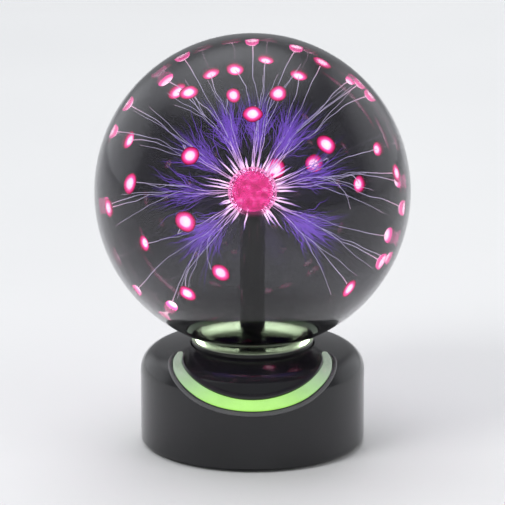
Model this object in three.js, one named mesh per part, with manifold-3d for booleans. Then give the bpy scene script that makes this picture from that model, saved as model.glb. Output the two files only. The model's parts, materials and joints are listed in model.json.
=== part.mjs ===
// Plasma ball lamp: a sealed glass globe with a central glass-covered electrode, standing in a pale
// collar on a round black base with a crescent-shaped green light window on its front shoulder.
// Millimetres, +Z up, front towards -Y, origin on the table under the middle of the base.
import * as THREE from "three";
import { mergeVertices } from "three/addons/utils/BufferGeometryUtils.js";
import Module from "manifold-3d";

const wasm = await Module();
wasm.setup();

// ---------------------------------------------------------------- driving dimensions
const GLOBE_RADIUS = 75;
const GLOBE_WALL = 1.8;
const GLOBE_Z = 123; // height of the globe's centre
const NECK_RADIUS = 24; // the globe's glass neck, outside
const NECK_BOTTOM = 39;
const STEM_RADIUS = 6; // the glass tube that carries the electrode
const BULB_RADIUS = 11.25; // the glass bulb round the electrode
const BULB_WALL = 1.3;

const BASE_RADIUS = 53.5;
const BASE_WALL = 2.4;
const BASE_BOTTOM = 2; // the feet hold the housing this far off the table
const SHOULDER_RADIUS = 10.5;
const SHOULDER_Z = 36; // where the upright wall turns into the shoulder
const SHOULDER_TURN = 80; // degrees of shoulder before the gently sloping top
const OPENING_RADIUS = 29.5; // the hole in the housing's top, round the collar

const PLATE_THICKNESS = 2.4;
const BOARD_TOP = 12.6;
const BOARD_THICKNESS = 1.6;
const PANEL_Y = 46.6; // outer face of the flat rear panel
const PANEL_THICKNESS = 2.4;
const SWITCH_X = 11;
const SWITCH_Z = 17.4;
const SWITCH_TRAVEL = 2; // each way from the middle position
const JACK_X = -13;
const JACK_Z = 18.2;
const MICROPHONE_X = -2;
const MICROPHONE_Z = 26.5;

const GAP = 0.3; // between pieces that touch
const ROUND = 56; // facets round the housing
const SMALL = 16; // facets round a small piece
const DEGREE = Math.PI / 180;

// ---------------------------------------------------------------- materials
const paint = (color, roughness, metalness = 0, more = {}) =>
  new THREE.MeshStandardMaterial({ color, roughness, metalness, ...more });
const glass = paint(0x9aa3a8, 0.03, 0, { transparent: true, opacity: 0.35 });
const blackGloss = paint(0x0b0b0c, 0.18);
const blackMatt = paint(0x161617, 0.6);
const greenGlow = paint(0x8fe05a, 0.3, 0, { emissive: 0x57b82c });
const paleCollar = paint(0xcfe3c0, 0.35);
const clearSilicone = paint(0xd8dcda, 0.4);
const rubber = paint(0x1b1b1c, 0.85);
const pinkWool = paint(0xe0307a, 0.7, 0, { emissive: 0xb01650 });
const steel = paint(0xb4b7ba, 0.35, 1);
const brass = paint(0xc9a04a, 0.3, 1);
const copper = paint(0xb86a34, 0.4, 1);
const aluminium = paint(0x8e9295, 0.45, 1);
const ferrite = paint(0x2e2d2f, 0.75);
const boardGreen = paint(0x1f6b3a, 0.5);
const capSleeve = paint(0x20304f, 0.4);
const redWire = paint(0xa51f1f, 0.5);
const whiteWire = paint(0xd9d7d0, 0.5);

// ---------------------------------------------------------------- shape helpers
// A closed three.js geometry as a solid, with its shared vertices merged.
function solid(geometry) {
  const bare = geometry.index ? geometry.toNonIndexed() : geometry.clone();
  bare.deleteAttribute("normal");
  bare.deleteAttribute("uv");
  const merged = mergeVertices(bare, 1e-4);
  return new wasm.Manifold(
    new wasm.Mesh({
      numProp: 3,
      vertProperties: merged.attributes.position.array,
      triVerts: new Uint32Array(merged.index.array),
    }),
  );
}

// The geometry of a solid, for a THREE.Mesh.
function geometryOf(body) {
  const made = body.getMesh();
  const geometry = new THREE.BufferGeometry();
  geometry.setAttribute("position", new THREE.BufferAttribute(made.vertProperties, 3));
  geometry.setIndex(new THREE.BufferAttribute(made.triVerts, 1));
  geometry.computeVertexNormals();
  return geometry;
}

function named(name, geometry, material) {
  const mesh = new THREE.Mesh(geometry, material);
  mesh.name = name;
  return mesh;
}

// A profile of [radius, height] pairs turned about Z. It runs anticlockwise: up the outside, down the inside.
function turned(profile, facets = SMALL) {
  const points = profile.map(([r, z]) => new THREE.Vector2(r, z));
  return new THREE.LatheGeometry(points, facets).rotateX(Math.PI / 2);
}

// A ring with a square section.
function ring(inner, outer, low, high, facets = SMALL) {
  const loop = [[inner, low], [outer, low], [outer, high], [inner, high], [inner, low]];
  return turned(loop, facets);
}

// An upright cylinder from one height to another.
function rod(radius, low, high, facets = SMALL) {
  return turned([[0, low], [radius, low], [radius, high], [0, high]], facets);
}

// A cylinder along Y, from one depth to another.
function rodAlongY(radius, from, to, facets = SMALL) {
  return rod(radius, from, to, facets).rotateX(-Math.PI / 2);
}

// A box between two corners.
function block([x0, y0, z0], [x1, y1, z1]) {
  const box = new THREE.BoxGeometry(x1 - x0, y1 - y0, z1 - z0);
  return box.translate((x0 + x1) / 2, (y0 + y1) / 2, (z0 + z1) / 2);
}

// Points on an arc in the (radius, height) plane, from one angle to another, in degrees.
function arc([centreR, centreZ], radius, from, to, steps) {
  const points = [];
  for (let i = 0; i <= steps; i++) {
    const angle = (from + ((to - from) * i) / steps) * DEGREE;
    points.push([centreR + radius * Math.cos(angle), centreZ + radius * Math.sin(angle)]);
  }
  return points;
}

// Where something stands on a circle round the axis, as [x, y].
function around(radius, degrees) {
  return [radius * Math.cos(degrees * DEGREE), radius * Math.sin(degrees * DEGREE)];
}

// An insulated wire along a smooth curve through the points given.
function wire(points, radius, steps) {
  const section = new THREE.Shape().absarc(0, 0, radius, 0, 2 * Math.PI, false);
  const extrudePath = new THREE.CatmullRomCurve3(points.map((p) => new THREE.Vector3(...p)));
  return new THREE.ExtrudeGeometry(section, { steps, curveSegments: 4, bevelEnabled: false, extrudePath });
}

// ---------------------------------------------------------------- glass
// Angle from the globe's centre, in degrees, at which a sphere reaches a given radius low on its side.
const lowAngle = (sphere, radius) => -Math.acos(radius / sphere) / DEGREE;

function glassGlobe() {
  const inside = GLOBE_RADIUS - GLOBE_WALL;
  const bore = NECK_RADIUS - GLOBE_WALL;
  const profile = [
    ...arc([0, GLOBE_Z], inside, 90, lowAngle(inside, bore + 3), 14),
    [bore + 0.7, 52.2],
    [bore, 49.5],
    [bore, NECK_BOTTOM],
    [NECK_RADIUS, NECK_BOTTOM],
    [NECK_RADIUS, 47.5],
    [NECK_RADIUS + 0.7, 50.4],
    ...arc([0, GLOBE_Z], GLOBE_RADIUS, lowAngle(GLOBE_RADIUS, NECK_RADIUS + 4), 90, 16),
  ];
  profile[0][0] = 0;
  profile.at(-1)[0] = 0;
  return turned(profile, 40);
}

// The inner glass: a flared foot fused into the neck, a tube, and the bulb that covers the electrode.
function electrodeTube() {
  const rim = NECK_RADIUS - GLOBE_WALL - GAP;
  const bore = STEM_RADIUS - 1.4;
  const inside = BULB_RADIUS - BULB_WALL;
  const profile = [
    ...arc([0, GLOBE_Z], inside, 90, lowAngle(inside, bore), 7),
    [bore, 52],
    [5.2, 47.5],
    [8, 42.6],
    [13.2, 40],
    [18, NECK_BOTTOM],
    [rim, NECK_BOTTOM],
    [rim, 40.6],
    [14, 41.5],
    [9, 44],
    [6.6, 48.5],
    [STEM_RADIUS, 54],
    ...arc([0, GLOBE_Z], BULB_RADIUS, lowAngle(BULB_RADIUS, STEM_RADIUS), 90, 8),
  ];
  profile[0][0] = 0;
  profile.at(-1)[0] = 0;
  return turned(profile, 20);
}

// The pip left where the globe was pumped and sealed, under the flared foot.
function exhaustTip() {
  return turned([[0, 31], [0.9, 31.6], [1.6, 34.5], [2.3, 36.5], [2.5, 38.4], [0, 38.4]], 10);
}

// ---------------------------------------------------------------- base housing
// The housing's outside from the foot of its wall to the opening in its top, moved inwards by inset.
function housingOutline(inset, steps) {
  const radius = SHOULDER_RADIUS - inset;
  const centre = [BASE_RADIUS - SHOULDER_RADIUS, SHOULDER_Z];
  const shoulder = arc(centre, radius, 0, SHOULDER_TURN, steps);
  const [endR, endZ] = shoulder.at(-1);
  const rise = (endR - OPENING_RADIUS) / Math.tan(SHOULDER_TURN * DEGREE);
  return [...shoulder, [OPENING_RADIUS, endZ + rise]];
}

// Everything inside the housing's outside, as one solid without the opening, moved inwards by inset.
function housingCore(inset, steps = 6) {
  const outline = housingOutline(inset, steps);
  const top = outline.at(-1)[1];
  return solid(turned([[0, -5], [BASE_RADIUS - inset, -5], ...outline, [0, top]], ROUND));
}

// The window is drawn on a plane that leans back 45 degrees and faces the front shoulder. It is the band
// between two ellipses, each cut off at the same height on that plane, with a round end on either side.
const WINDOW_LEAN = 45 * DEGREE;
const WINDOW_LOWER = { centre: 14, halfWidth: 37.6, halfHeight: 30 };
const WINDOW_UPPER = { centre: 17, halfWidth: 33.6, halfHeight: 29.4 };
const WINDOW_END = 23;
const WINDOW_STEPS = 16;
const WINDOW_PROUD = 0.4;
const WINDOW_DEPTH = 3.2;

// One edge of the window from its right end to its left, moved outwards by margin.
function windowEdge({ centre, halfWidth, halfHeight }, margin) {
  const a = halfWidth + margin;
  const b = halfHeight + margin;
  const start = Math.asin((WINDOW_END - centre) / b);
  const points = [];
  for (let i = 0; i <= WINDOW_STEPS; i++) {
    const angle = start - ((Math.PI + 2 * start) * i) / WINDOW_STEPS;
    points.push(new THREE.Vector2(a * Math.cos(angle), centre + b * Math.sin(angle)));
  }
  return points;
}

// The points of a half circle from one point over to another, without those two points.
function halfCircle(from, to) {
  const centre = from.clone().add(to).multiplyScalar(0.5);
  const turns = [1, 2, 3, 4];
  return turns.map((turn) => from.clone().rotateAround(centre, (-Math.PI * turn) / 5));
}

// A cutter with the window's outline, grown by margin all round, aimed down through the front shoulder.
function windowTool(margin) {
  const lower = windowEdge(WINDOW_LOWER, margin);
  const upper = windowEdge(WINDOW_UPPER, -margin).reverse();
  const leftEnd = halfCircle(lower.at(-1), upper[0]);
  const rightEnd = halfCircle(upper.at(-1), lower[0]);
  const outline = new THREE.Shape([...lower, ...leftEnd, ...upper, ...rightEnd]);
  const tool = new THREE.ExtrudeGeometry(outline, { depth: 32, bevelEnabled: false });
  return solid(tool.translate(0, 0, 38).rotateX(WINDOW_LEAN));
}

// The green light guide: a band of the housing's own wall, a little proud of it.
function lightCrescent() {
  const band = windowTool(0).intersect(housingCore(-WINDOW_PROUD));
  return geometryOf(band.subtract(housingCore(WINDOW_DEPTH)));
}

const SCREW_HOLE = 1.7;
const SCREW_CIRCLE = 45;
const SCREW_ANGLES = [45, 135, 225, 315];
const SOCKET_SCREW_CIRCLE = 35.5;
const SOCKET_SCREW_ANGLES = [30, 150, 270];
const SOCKET_TOP = 40.6; // top of the socket's rim
const POST_BOTTOM = 7.3; // the screw posts stop just above the pads on the bottom plate

function baseShell() {
  const outline = housingOutline(0, 6);
  const inner = housingOutline(BASE_WALL, 4).reverse();
  const foot = [
    [BASE_RADIUS - BASE_WALL, BASE_BOTTOM],
    [BASE_RADIUS - 1.2, BASE_BOTTOM],
    [BASE_RADIUS, BASE_BOTTOM + 1.2],
  ];
  let shell = solid(turned([...foot, ...outline, ...inner, foot[0]], ROUND));

  // Posts for the bottom screws, each on a rib from the wall.
  const postTop = 28;
  for (const angle of SCREW_ANGLES) {
    const [x, y] = around(SCREW_CIRCLE, angle);
    const rib = block([SCREW_CIRCLE, -1.2, POST_BOTTOM], [BASE_RADIUS - 1.4, 1.2, postTop]);
    shell = shell.add(solid(rod(4, POST_BOTTOM, postTop).translate(x, y, 0)));
    shell = shell.add(solid(rib.rotateZ(angle * DEGREE)));
    shell = shell.subtract(solid(rod(SCREW_HOLE, 0, postTop - 8, 12).translate(x, y, 0)));
  }
  // Posts under the top for the socket's screws.
  const underTop = 46.4;
  for (const angle of SOCKET_SCREW_ANGLES) {
    const [x, y] = around(SOCKET_SCREW_CIRCLE, angle);
    shell = shell.add(solid(rod(3.4, SOCKET_TOP + GAP, underTop).translate(x, y, 0)));
    shell = shell.subtract(solid(rod(SCREW_HOLE - 0.1, 30, underTop + 0.2, 12).translate(x, y, 0)));
  }

  // The light window with a raised lip round it.
  const lip = windowTool(2.2).intersect(housingCore(-0.8)).subtract(housingCore(1));
  shell = shell.add(lip).subtract(windowTool(GAP).subtract(housingCore(8)));
  return geometryOf(rearPanel(shell));
}

// Cuts a flat recessed panel into the back of the shell, with its socket hole, switch slot and sound hole.
function rearPanel(shell) {
  const inside = PANEL_Y - PANEL_THICKNESS;
  const walls = solid(block([-26, inside, 8.6], [26, BASE_RADIUS, 33]));
  const recess = block([-24, PANEL_Y, 10.6], [24, BASE_RADIUS + 5, 31]);
  const slotHalf = 1.5 + SWITCH_TRAVEL + 0.4;
  const slot = block([-slotHalf, 40, -1.6], [slotHalf, 50, 1.6]).translate(SWITCH_X, 0, SWITCH_Z);
  const tick = block([-0.35, PANEL_Y - 0.5, 3.4], [0.35, PANEL_Y + 0.5, 5.2]);
  let panel = shell.add(walls.intersect(housingCore(0.5))).subtract(solid(recess));
  for (const place of [-SWITCH_TRAVEL, 0, SWITCH_TRAVEL]) {
    panel = panel.add(solid(tick.clone().translate(SWITCH_X + place, 0, SWITCH_Z)));
  }
  return panel
    .subtract(solid(slot))
    .subtract(solid(rodAlongY(4.6, 40, 50).translate(JACK_X, 0, JACK_Z)))
    .subtract(solid(rodAlongY(1.2, 40, 50, 12).translate(MICROPHONE_X, 0, MICROPHONE_Z)));
}

const FOOT_CIRCLE = 38;
const FOOT_ANGLES = [0, 90, 180, 270];
const FOOT_RADIUS = 6;
const SCREW_SEAT = 5; // height of the ledge the bottom screws' heads pull against
const STANDOFFS = [[-22, -12], [22, -12], [-22, 31], [22, 31]];

function bottomPlate() {
  const top = BASE_BOTTOM + PLATE_THICKNESS;
  let plate = solid(rod(BASE_RADIUS - BASE_WALL - 0.4, BASE_BOTTOM, top, ROUND));
  for (const angle of SCREW_ANGLES) {
    const [x, y] = around(SCREW_CIRCLE, angle);
    plate = plate.add(solid(rod(5, BASE_BOTTOM, POST_BOTTOM - GAP).translate(x, y, 0)));
    plate = plate.subtract(solid(rod(3.2, 0, SCREW_SEAT).translate(x, y, 0)));
    plate = plate.subtract(solid(rod(SCREW_HOLE, 0, 9, 12).translate(x, y, 0)));
  }
  for (const angle of FOOT_ANGLES) {
    const [x, y] = around(FOOT_CIRCLE, angle);
    plate = plate.subtract(solid(rod(FOOT_RADIUS + 0.4, 0, BASE_BOTTOM + 1.4, 20).translate(x, y, 0)));
  }
  for (const [x, y] of STANDOFFS) {
    plate = plate.add(solid(rod(2.8, top - 1, BOARD_TOP - BOARD_THICKNESS - GAP, 12).translate(x, y, 0)));
    plate = plate.subtract(solid(rod(1.3, 6, 20, 10).translate(x, y, 0)));
  }
  for (let slot = 0; slot < 5; slot++) {
    const y = slot * 6 - 6;
    plate = plate.subtract(solid(block([-13, y, 0], [13, y + 2.4, 6])));
  }
  return geometryOf(plate);
}

// A soft foot, its bottom on the table and its top in the plate's recess.
function foot() {
  return turned([[0, 0], [5.2, 0], [FOOT_RADIUS, 0.8], [FOOT_RADIUS, 3.1], [0, 3.1]], 20);
}

// ---------------------------------------------------------------- what holds the globe
// The pale liner in the housing's opening, its top edge showing round the neck.
function collarRing() {
  const inner = 26.2;
  const outer = OPENING_RADIUS - 0.4;
  const bottom = SOCKET_TOP + GAP;
  const flange = outer + 2.1;
  const loop = [
    [inner, bottom], [outer, bottom], [outer, 44.3], [flange, 44.3], [flange, 46], [outer, 46],
    [outer, 50.2], [outer - 0.4, 50.7], [27, 50.7], [inner, 49.7], [inner, bottom],
  ];
  return turned(loop, 48);
}

// The cup that carries the neck, screwed up into the housing's top.
function globeSocket() {
  const rim = SOCKET_SCREW_CIRCLE + 3.7;
  const cup = NECK_RADIUS + 0.6;
  const loop = [
    [17, 34.6], [27.5, 34.6], [27.5, 38.6], [rim, 38.6], [rim, SOCKET_TOP],
    [cup, SOCKET_TOP], [cup, 37], [17, 37], [17, 34.6],
  ];
  let socket = solid(turned(loop, 48));
  for (const angle of SOCKET_SCREW_ANGLES) {
    const [x, y] = around(SOCKET_SCREW_CIRCLE, angle);
    socket = socket.subtract(solid(rod(SCREW_HOLE, 30, 45, 12).translate(x, y, 0)));
  }
  return geometryOf(socket);
}

// A pan-head screw pointing up, its head's underside at the origin.
function screw(headRadius, headHeight, shaftRadius, length) {
  const profile = [
    [0, -headHeight], [headRadius * 0.7, -headHeight], [headRadius, -headHeight * 0.4], [headRadius, 0],
    [shaftRadius, 0], [shaftRadius, length], [0, length],
  ];
  return turned(profile, 10);
}

// ---------------------------------------------------------------- electronics
const BOARD_Y = [-16, 42];
const BOARD_X = 26;
const ON_BOARD = BOARD_TOP + GAP;

function mainBoard() {
  const low = BOARD_TOP - BOARD_THICKNESS;
  let board = solid(block([-BOARD_X, BOARD_Y[0], low], [BOARD_X, BOARD_Y[1], BOARD_TOP]));
  for (const [x, y] of STANDOFFS) {
    board = board.subtract(solid(rod(1.4, 0, 20, 10).translate(x, y, 0)));
  }
  return geometryOf(board);
}

// The transformer: a square ferrite loop lying flat, with the high-voltage spool on its front leg.
const CORE_X = -7;
const CORE_Z = 21.4;
const FRONT_LEG_Y = -7;
const BACK_LEG_Y = 11;
const LEG = 6;
const SPOOL_RADIUS = 5.2;

function transformerCore() {
  const half = LEG / 2;
  const loop = solid(block([-16, FRONT_LEG_Y - half, -half], [16, BACK_LEG_Y + half, half]));
  const window = solid(block([-10, FRONT_LEG_Y + half, -9], [10, BACK_LEG_Y - half, 9]));
  return geometryOf(loop.subtract(window)).translate(CORE_X, 0, CORE_Z);
}

// A square bar along X, a little thicker than a leg of the core.
function legHole() {
  const half = LEG / 2 + GAP;
  return solid(block([-20, -half, -half], [20, half, half]));
}

// A few thick turns round the back leg.
function primaryWinding() {
  const drum = solid(rod(5.6, -7, 7, 20).rotateY(Math.PI / 2));
  return geometryOf(drum.subtract(legHole())).translate(CORE_X, BACK_LEG_Y, CORE_Z);
}

// The spool's two square cheeks and its tube, round the front leg.
function transformerBobbin() {
  let spool = solid(rod(SPOOL_RADIUS, -9.4, 9.4).rotateY(Math.PI / 2));
  for (const x of [-9.4, 7.9]) {
    spool = spool.add(solid(block([x, -8.3, -8.4], [x + 1.5, 8.3, 8.4])));
  }
  return geometryOf(spool.subtract(legHole())).translate(CORE_X, FRONT_LEG_Y, CORE_Z);
}

// The fine high-voltage wire, wound on the spool between its cheeks.
function transformerWinding() {
  const drum = ring(SPOOL_RADIUS + GAP, 8, -7.5, 7.5, 20).rotateY(Math.PI / 2);
  return drum.translate(CORE_X, FRONT_LEG_Y, CORE_Z);
}

// The brass cup that the electrode rod's lower end stands in.
function hvTerminal() {
  const bore = 1.5;
  const top = 36.4;
  const floor = 33.7;
  return turned([[0, 31.4], [2.2, 31.4], [2.2, top], [bore, top], [bore, floor], [0, floor]], 12);
}

// A finned heat sink with the transistor bolted to its flat side.
const SINK_X = 16.6;
const SINK_Y = 2;
const BOLT_Z = 12.2; // height of the transistor's bolt above the board

function heatSink() {
  const comb = new THREE.Shape();
  const fins = 6;
  const pitch = 3.6;
  comb.moveTo(0, 0);
  for (let fin = 0; fin < fins; fin++) {
    const y = fin * pitch;
    comb.lineTo(fin ? 2 : 0, y);
    comb.lineTo(8.4, y);
    comb.lineTo(8.4, y + 1.4);
    comb.lineTo(fin < fins - 1 ? 2 : 0, y + 1.4);
  }
  const width = (fins - 1) * pitch + 1.4;
  const sink = new THREE.ExtrudeGeometry(comb, { depth: 15, bevelEnabled: false });
  const bolt = solid(rod(1.4, -2, 4, 10).rotateY(Math.PI / 2).translate(0, width / 2, BOLT_Z));
  return geometryOf(solid(sink).subtract(bolt)).translate(SINK_X, SINK_Y - width / 2, ON_BOARD);
}

function powerTransistor() {
  const body = solid(block([-4.2, -5, 0], [0, 5, 9]));
  const tab = solid(block([-1.3, -5, 9], [0, 5, 15]));
  const bolt = solid(rod(1.5, -3, 1, 10).rotateY(Math.PI / 2).translate(0, 0, BOLT_Z));
  return geometryOf(body.add(tab).subtract(bolt)).translate(SINK_X - GAP, SINK_Y, ON_BOARD);
}

// An electrolytic capacitor with the pinched groove near its foot.
function capacitor(radius, height) {
  const profile = [
    [0, 0], [radius, 0], [radius, 1.2], [radius - 0.4, 1.8], [radius, 2.4],
    [radius, height - 0.5], [radius - 0.5, height], [0, height],
  ];
  return turned(profile, 18);
}

// The DC inlet: a box on the board with a round nose through the rear panel and an open socket.
function dcJack() {
  const inside = PANEL_Y - PANEL_THICKNESS - 0.6;
  const body = solid(block([-4.5, 31, ON_BOARD - JACK_Z], [4.5, inside, 5.2]));
  const nose = solid(rodAlongY(4.2, inside - 1, PANEL_Y + 0.8, 20));
  const socket = solid(rodAlongY(3.1, 38, PANEL_Y + 2, 20));
  return geometryOf(body.add(nose).subtract(socket)).translate(JACK_X, 0, JACK_Z);
}

const SWITCH_BACK = PANEL_Y - PANEL_THICKNESS - 0.6;

function switchBody() {
  const half = 1.5 + SWITCH_TRAVEL + GAP;
  const body = solid(block([-6.6, 37.2, ON_BOARD - SWITCH_Z], [6.6, SWITCH_BACK, 4]));
  const groove = solid(block([-half, 41.1, -1.5], [half, 50, 1.5]));
  return geometryOf(body.subtract(groove)).translate(SWITCH_X, 0, SWITCH_Z);
}

// The slider: a stem from inside the switch and a ribbed thumb piece behind the panel.
function switchKnob() {
  const cap = PANEL_Y + 0.4;
  let knob = solid(block([-1.5, 41.4, -1.2], [1.5, cap + 1, 1.2]));
  knob = knob.add(solid(block([-2.3, cap, -2.1], [2.3, cap + 3, 2.1])));
  for (const x of [-1.7, -0.3, 1.1]) {
    knob = knob.add(solid(block([x, cap + 2.5, -2.1], [x + 0.6, cap + 3.5, 2.1])));
  }
  return geometryOf(knob);
}

const LED_BOARD_Y = -44.8;
const LED_PLACES = [-11, 0, 11];
const LED_Z = 33;

// A round LED lying along Y with its dome to the front.
function led() {
  const profile = [[0, 0], [1.9, 0], [1.9, 0.6], [1.5, 0.6], [1.4, 1.5], [1, 1.9], [0, 2.1]];
  return turned(profile, 12).rotateX(Math.PI / 2);
}

// ---------------------------------------------------------------- assembly
const lamp = new THREE.Group();
const base = new THREE.Group();
const globe = new THREE.Group();
const electronics = new THREE.Group();
lamp.add(base, globe, electronics);

function place(group, name, geometry, material, x = 0, y = 0, z = 0) {
  const mesh = named(name, geometry, material);
  mesh.position.set(x, y, z);
  group.add(mesh);
}

place(base, "base_shell", baseShell(), blackGloss);
place(base, "bottom_plate", bottomPlate(), blackMatt);
place(base, "light_crescent", lightCrescent(), greenGlow);
place(base, "collar_ring", collarRing(), paleCollar);
place(base, "globe_socket", globeSocket(), blackMatt);
place(base, "neck_pad", ring(18, NECK_RADIUS + 0.2, 37 + GAP, NECK_BOTTOM - GAP, 32), rubber);
const gasket = ring(NECK_RADIUS + GAP, 25.9, SOCKET_TOP + GAP, 43.5, 48);
place(base, "neck_gasket", gasket, clearSilicone);
FOOT_ANGLES.forEach((angle, i) => {
  place(base, `foot_${i + 1}`, foot(), rubber, ...around(FOOT_CIRCLE, angle));
});
SCREW_ANGLES.forEach((angle, i) => {
  const [x, y] = around(SCREW_CIRCLE, angle);
  place(base, `base_screw_${i + 1}`, screw(2.7, 1.8, 1.4, 12), steel, x, y, SCREW_SEAT - GAP);
});
SOCKET_SCREW_ANGLES.forEach((angle, i) => {
  const [x, y] = around(SOCKET_SCREW_CIRCLE, angle);
  place(base, `socket_screw_${i + 1}`, screw(2.7, 1.6, 1.3, 7.6), steel, x, y, 38.3);
});

place(globe, "glass_globe", glassGlobe(), glass);
place(globe, "electrode_tube", electrodeTube(), glass);
place(globe, "exhaust_tip", exhaustTip(), glass, 11);
place(globe, "electrode_core", new THREE.SphereGeometry(9.4, 24, 16), pinkWool, 0, 0, GLOBE_Z);
place(globe, "electrode_rod", rod(1.2, 34, 113.3, 10), brass);
place(globe, "stem_sleeve", ring(1.6, 4.3, 41, 112), blackMatt);

place(electronics, "main_board", mainBoard(), boardGreen);
STANDOFFS.forEach(([x, y], i) => {
  const boardScrew = screw(2.4, 1.4, 1, 6.2).rotateX(Math.PI);
  place(electronics, `board_screw_${i + 1}`, boardScrew, steel, x, y, ON_BOARD);
});
place(electronics, "transformer_core", transformerCore(), ferrite);
place(electronics, "transformer_bobbin", transformerBobbin(), blackMatt);
place(electronics, "transformer_winding", transformerWinding(), copper);
place(electronics, "primary_winding", primaryWinding(), copper);
place(electronics, "hv_terminal", hvTerminal(), brass);
const leadRoute = [[-9, -7, 31.2], [-8.5, -3.5, 31.4], [-6.5, -0.6, 32.4], [-4, 0, 32.6], [-2.5, 0, 32.6]];
place(electronics, "hv_lead", wire(leadRoute, 1.1, 14), redWire);
place(electronics, "heat_sink", heatSink(), aluminium);
place(electronics, "power_transistor", powerTransistor(), blackMatt);
const sinkBolt = screw(2.5, 1.6, 1.1, 4.6).rotateY(Math.PI / 2);
place(electronics, "transistor_bolt", sinkBolt, steel, SINK_X - 1.3 - 2 * GAP, SINK_Y, ON_BOARD + BOLT_Z);
place(electronics, "capacitor_large", capacitor(5, 13), capSleeve, -15, 24.5, ON_BOARD);
place(electronics, "capacitor_small", capacitor(3.2, 8), capSleeve, -4.6, 25, ON_BOARD);
place(electronics, "control_chip", block([-3.2, -4.7, 0], [3.2, 4.7, 3.6]), blackMatt, 8, 26, ON_BOARD);
const capsule = rodAlongY(4.8, 0, 4.6, 18);
place(electronics, "microphone", capsule, aluminium, MICROPHONE_X, 39.2, MICROPHONE_Z);
place(electronics, "dc_jack", dcJack(), blackMatt);
place(electronics, "dc_jack_pin", rodAlongY(1, 38.3, 46, 10), steel, JACK_X, 0, JACK_Z);
place(electronics, "switch_body", switchBody(), steel);
place(electronics, "switch_knob", switchKnob(), blackMatt, SWITCH_X, 0, SWITCH_Z);
const ledBoard = block([-15, LED_BOARD_Y - 1, 27], [15, LED_BOARD_Y, 37]);
place(electronics, "led_board", ledBoard, boardGreen);
LED_PLACES.forEach((x, i) => {
  place(electronics, `led_${i + 1}`, led(), greenGlow, x, LED_BOARD_Y - 1 - GAP, LED_Z);
});
[whiteWire, redWire].forEach((material, i) => {
  const x = i ? 6 : -6;
  const start = [x, LED_BOARD_Y + 0.6, 29];
  const route = [start, [x, -41, 28], [x, -34, 22], [x, -22, 15.4], [x, -14, 13.9]];
  place(electronics, `led_wire_${i + 1}`, wire(route, 0.7, 14), material);
});

export default lamp;
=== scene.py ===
"""The looks of the plasma ball: a glass globe with a dark tint of painted shade, full of glowing threads, on
a glossy black drum base.

Metres throughout, in the CAD model's frame: +Z up, the front towards -Y.
"""

import json
import math
import random

import bmesh
import bpy
from mathutils import Matrix, Vector, noise


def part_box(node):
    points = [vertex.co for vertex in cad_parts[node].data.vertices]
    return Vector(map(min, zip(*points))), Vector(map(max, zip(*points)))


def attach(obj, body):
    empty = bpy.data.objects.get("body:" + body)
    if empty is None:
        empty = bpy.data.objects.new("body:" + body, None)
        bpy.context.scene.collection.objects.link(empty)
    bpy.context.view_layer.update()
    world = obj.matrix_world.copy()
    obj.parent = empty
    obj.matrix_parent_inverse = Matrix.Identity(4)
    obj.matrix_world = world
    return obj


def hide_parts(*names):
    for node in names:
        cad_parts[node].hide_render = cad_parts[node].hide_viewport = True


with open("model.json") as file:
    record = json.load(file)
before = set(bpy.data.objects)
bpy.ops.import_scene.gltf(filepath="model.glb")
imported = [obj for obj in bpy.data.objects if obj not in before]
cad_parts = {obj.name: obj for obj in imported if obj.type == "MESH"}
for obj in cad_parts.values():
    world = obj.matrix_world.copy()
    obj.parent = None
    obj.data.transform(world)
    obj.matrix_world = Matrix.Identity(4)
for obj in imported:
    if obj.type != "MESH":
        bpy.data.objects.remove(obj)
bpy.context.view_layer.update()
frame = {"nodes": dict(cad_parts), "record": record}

MM = 0.001
VIEW_ELEVATION = math.radians(15)

# ---------------------------------------------------------------- sizes, from the frame
def middle_of(box):
    """The middle of a box given by its two corners."""
    low, high = box
    return (low + high) / 2


GLOBE_LOW, GLOBE_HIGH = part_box("glass_globe")
GLOBE_R = GLOBE_HIGH.x
GLOBE_WALL = 1.8 * MM
GLOBE_C = Vector((0, 0, GLOBE_HIGH.z - GLOBE_R))
NECK_R = 24 * MM
NECK_Z = GLOBE_LOW.z

TUBE_LOW, TUBE_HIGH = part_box("electrode_tube")
BULB_R = TUBE_HIGH.z - GLOBE_C.z
BULB_WALL = 1.3 * MM
STEM_R = 6 * MM
FLARE_R = TUBE_HIGH.x
CORE_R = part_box("electrode_core")[1].x

SHELL_LOW, SHELL_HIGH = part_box("base_shell")
BASE_R = SHELL_HIGH.x
BASE_Z = SHELL_LOW.z
BASE_WALL = 2.4 * MM
SHOULDER_R = 10.5 * MM
SHOULDER_Z = 36 * MM
SHOULDER_TURN = math.radians(80)
OPENING_R = 29.5 * MM
SCREW_HOLE_R = 1.7 * MM

PANEL_Y = 46.6 * MM
PANEL_INSIDE = PANEL_Y - 2.4 * MM
KNOB_LOW, KNOB_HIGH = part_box("switch_knob")
SWITCH = (KNOB_LOW + KNOB_HIGH) / 2
JACK_LOW, JACK_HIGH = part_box("dc_jack")
PIN_LOW, PIN_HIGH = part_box("dc_jack_pin")
JACK = (PIN_LOW + PIN_HIGH) / 2
MICROPHONE = middle_of(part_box("microphone"))

BODY = "lamp"
chance = random.Random(7)
noise.seed_set(7)


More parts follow.
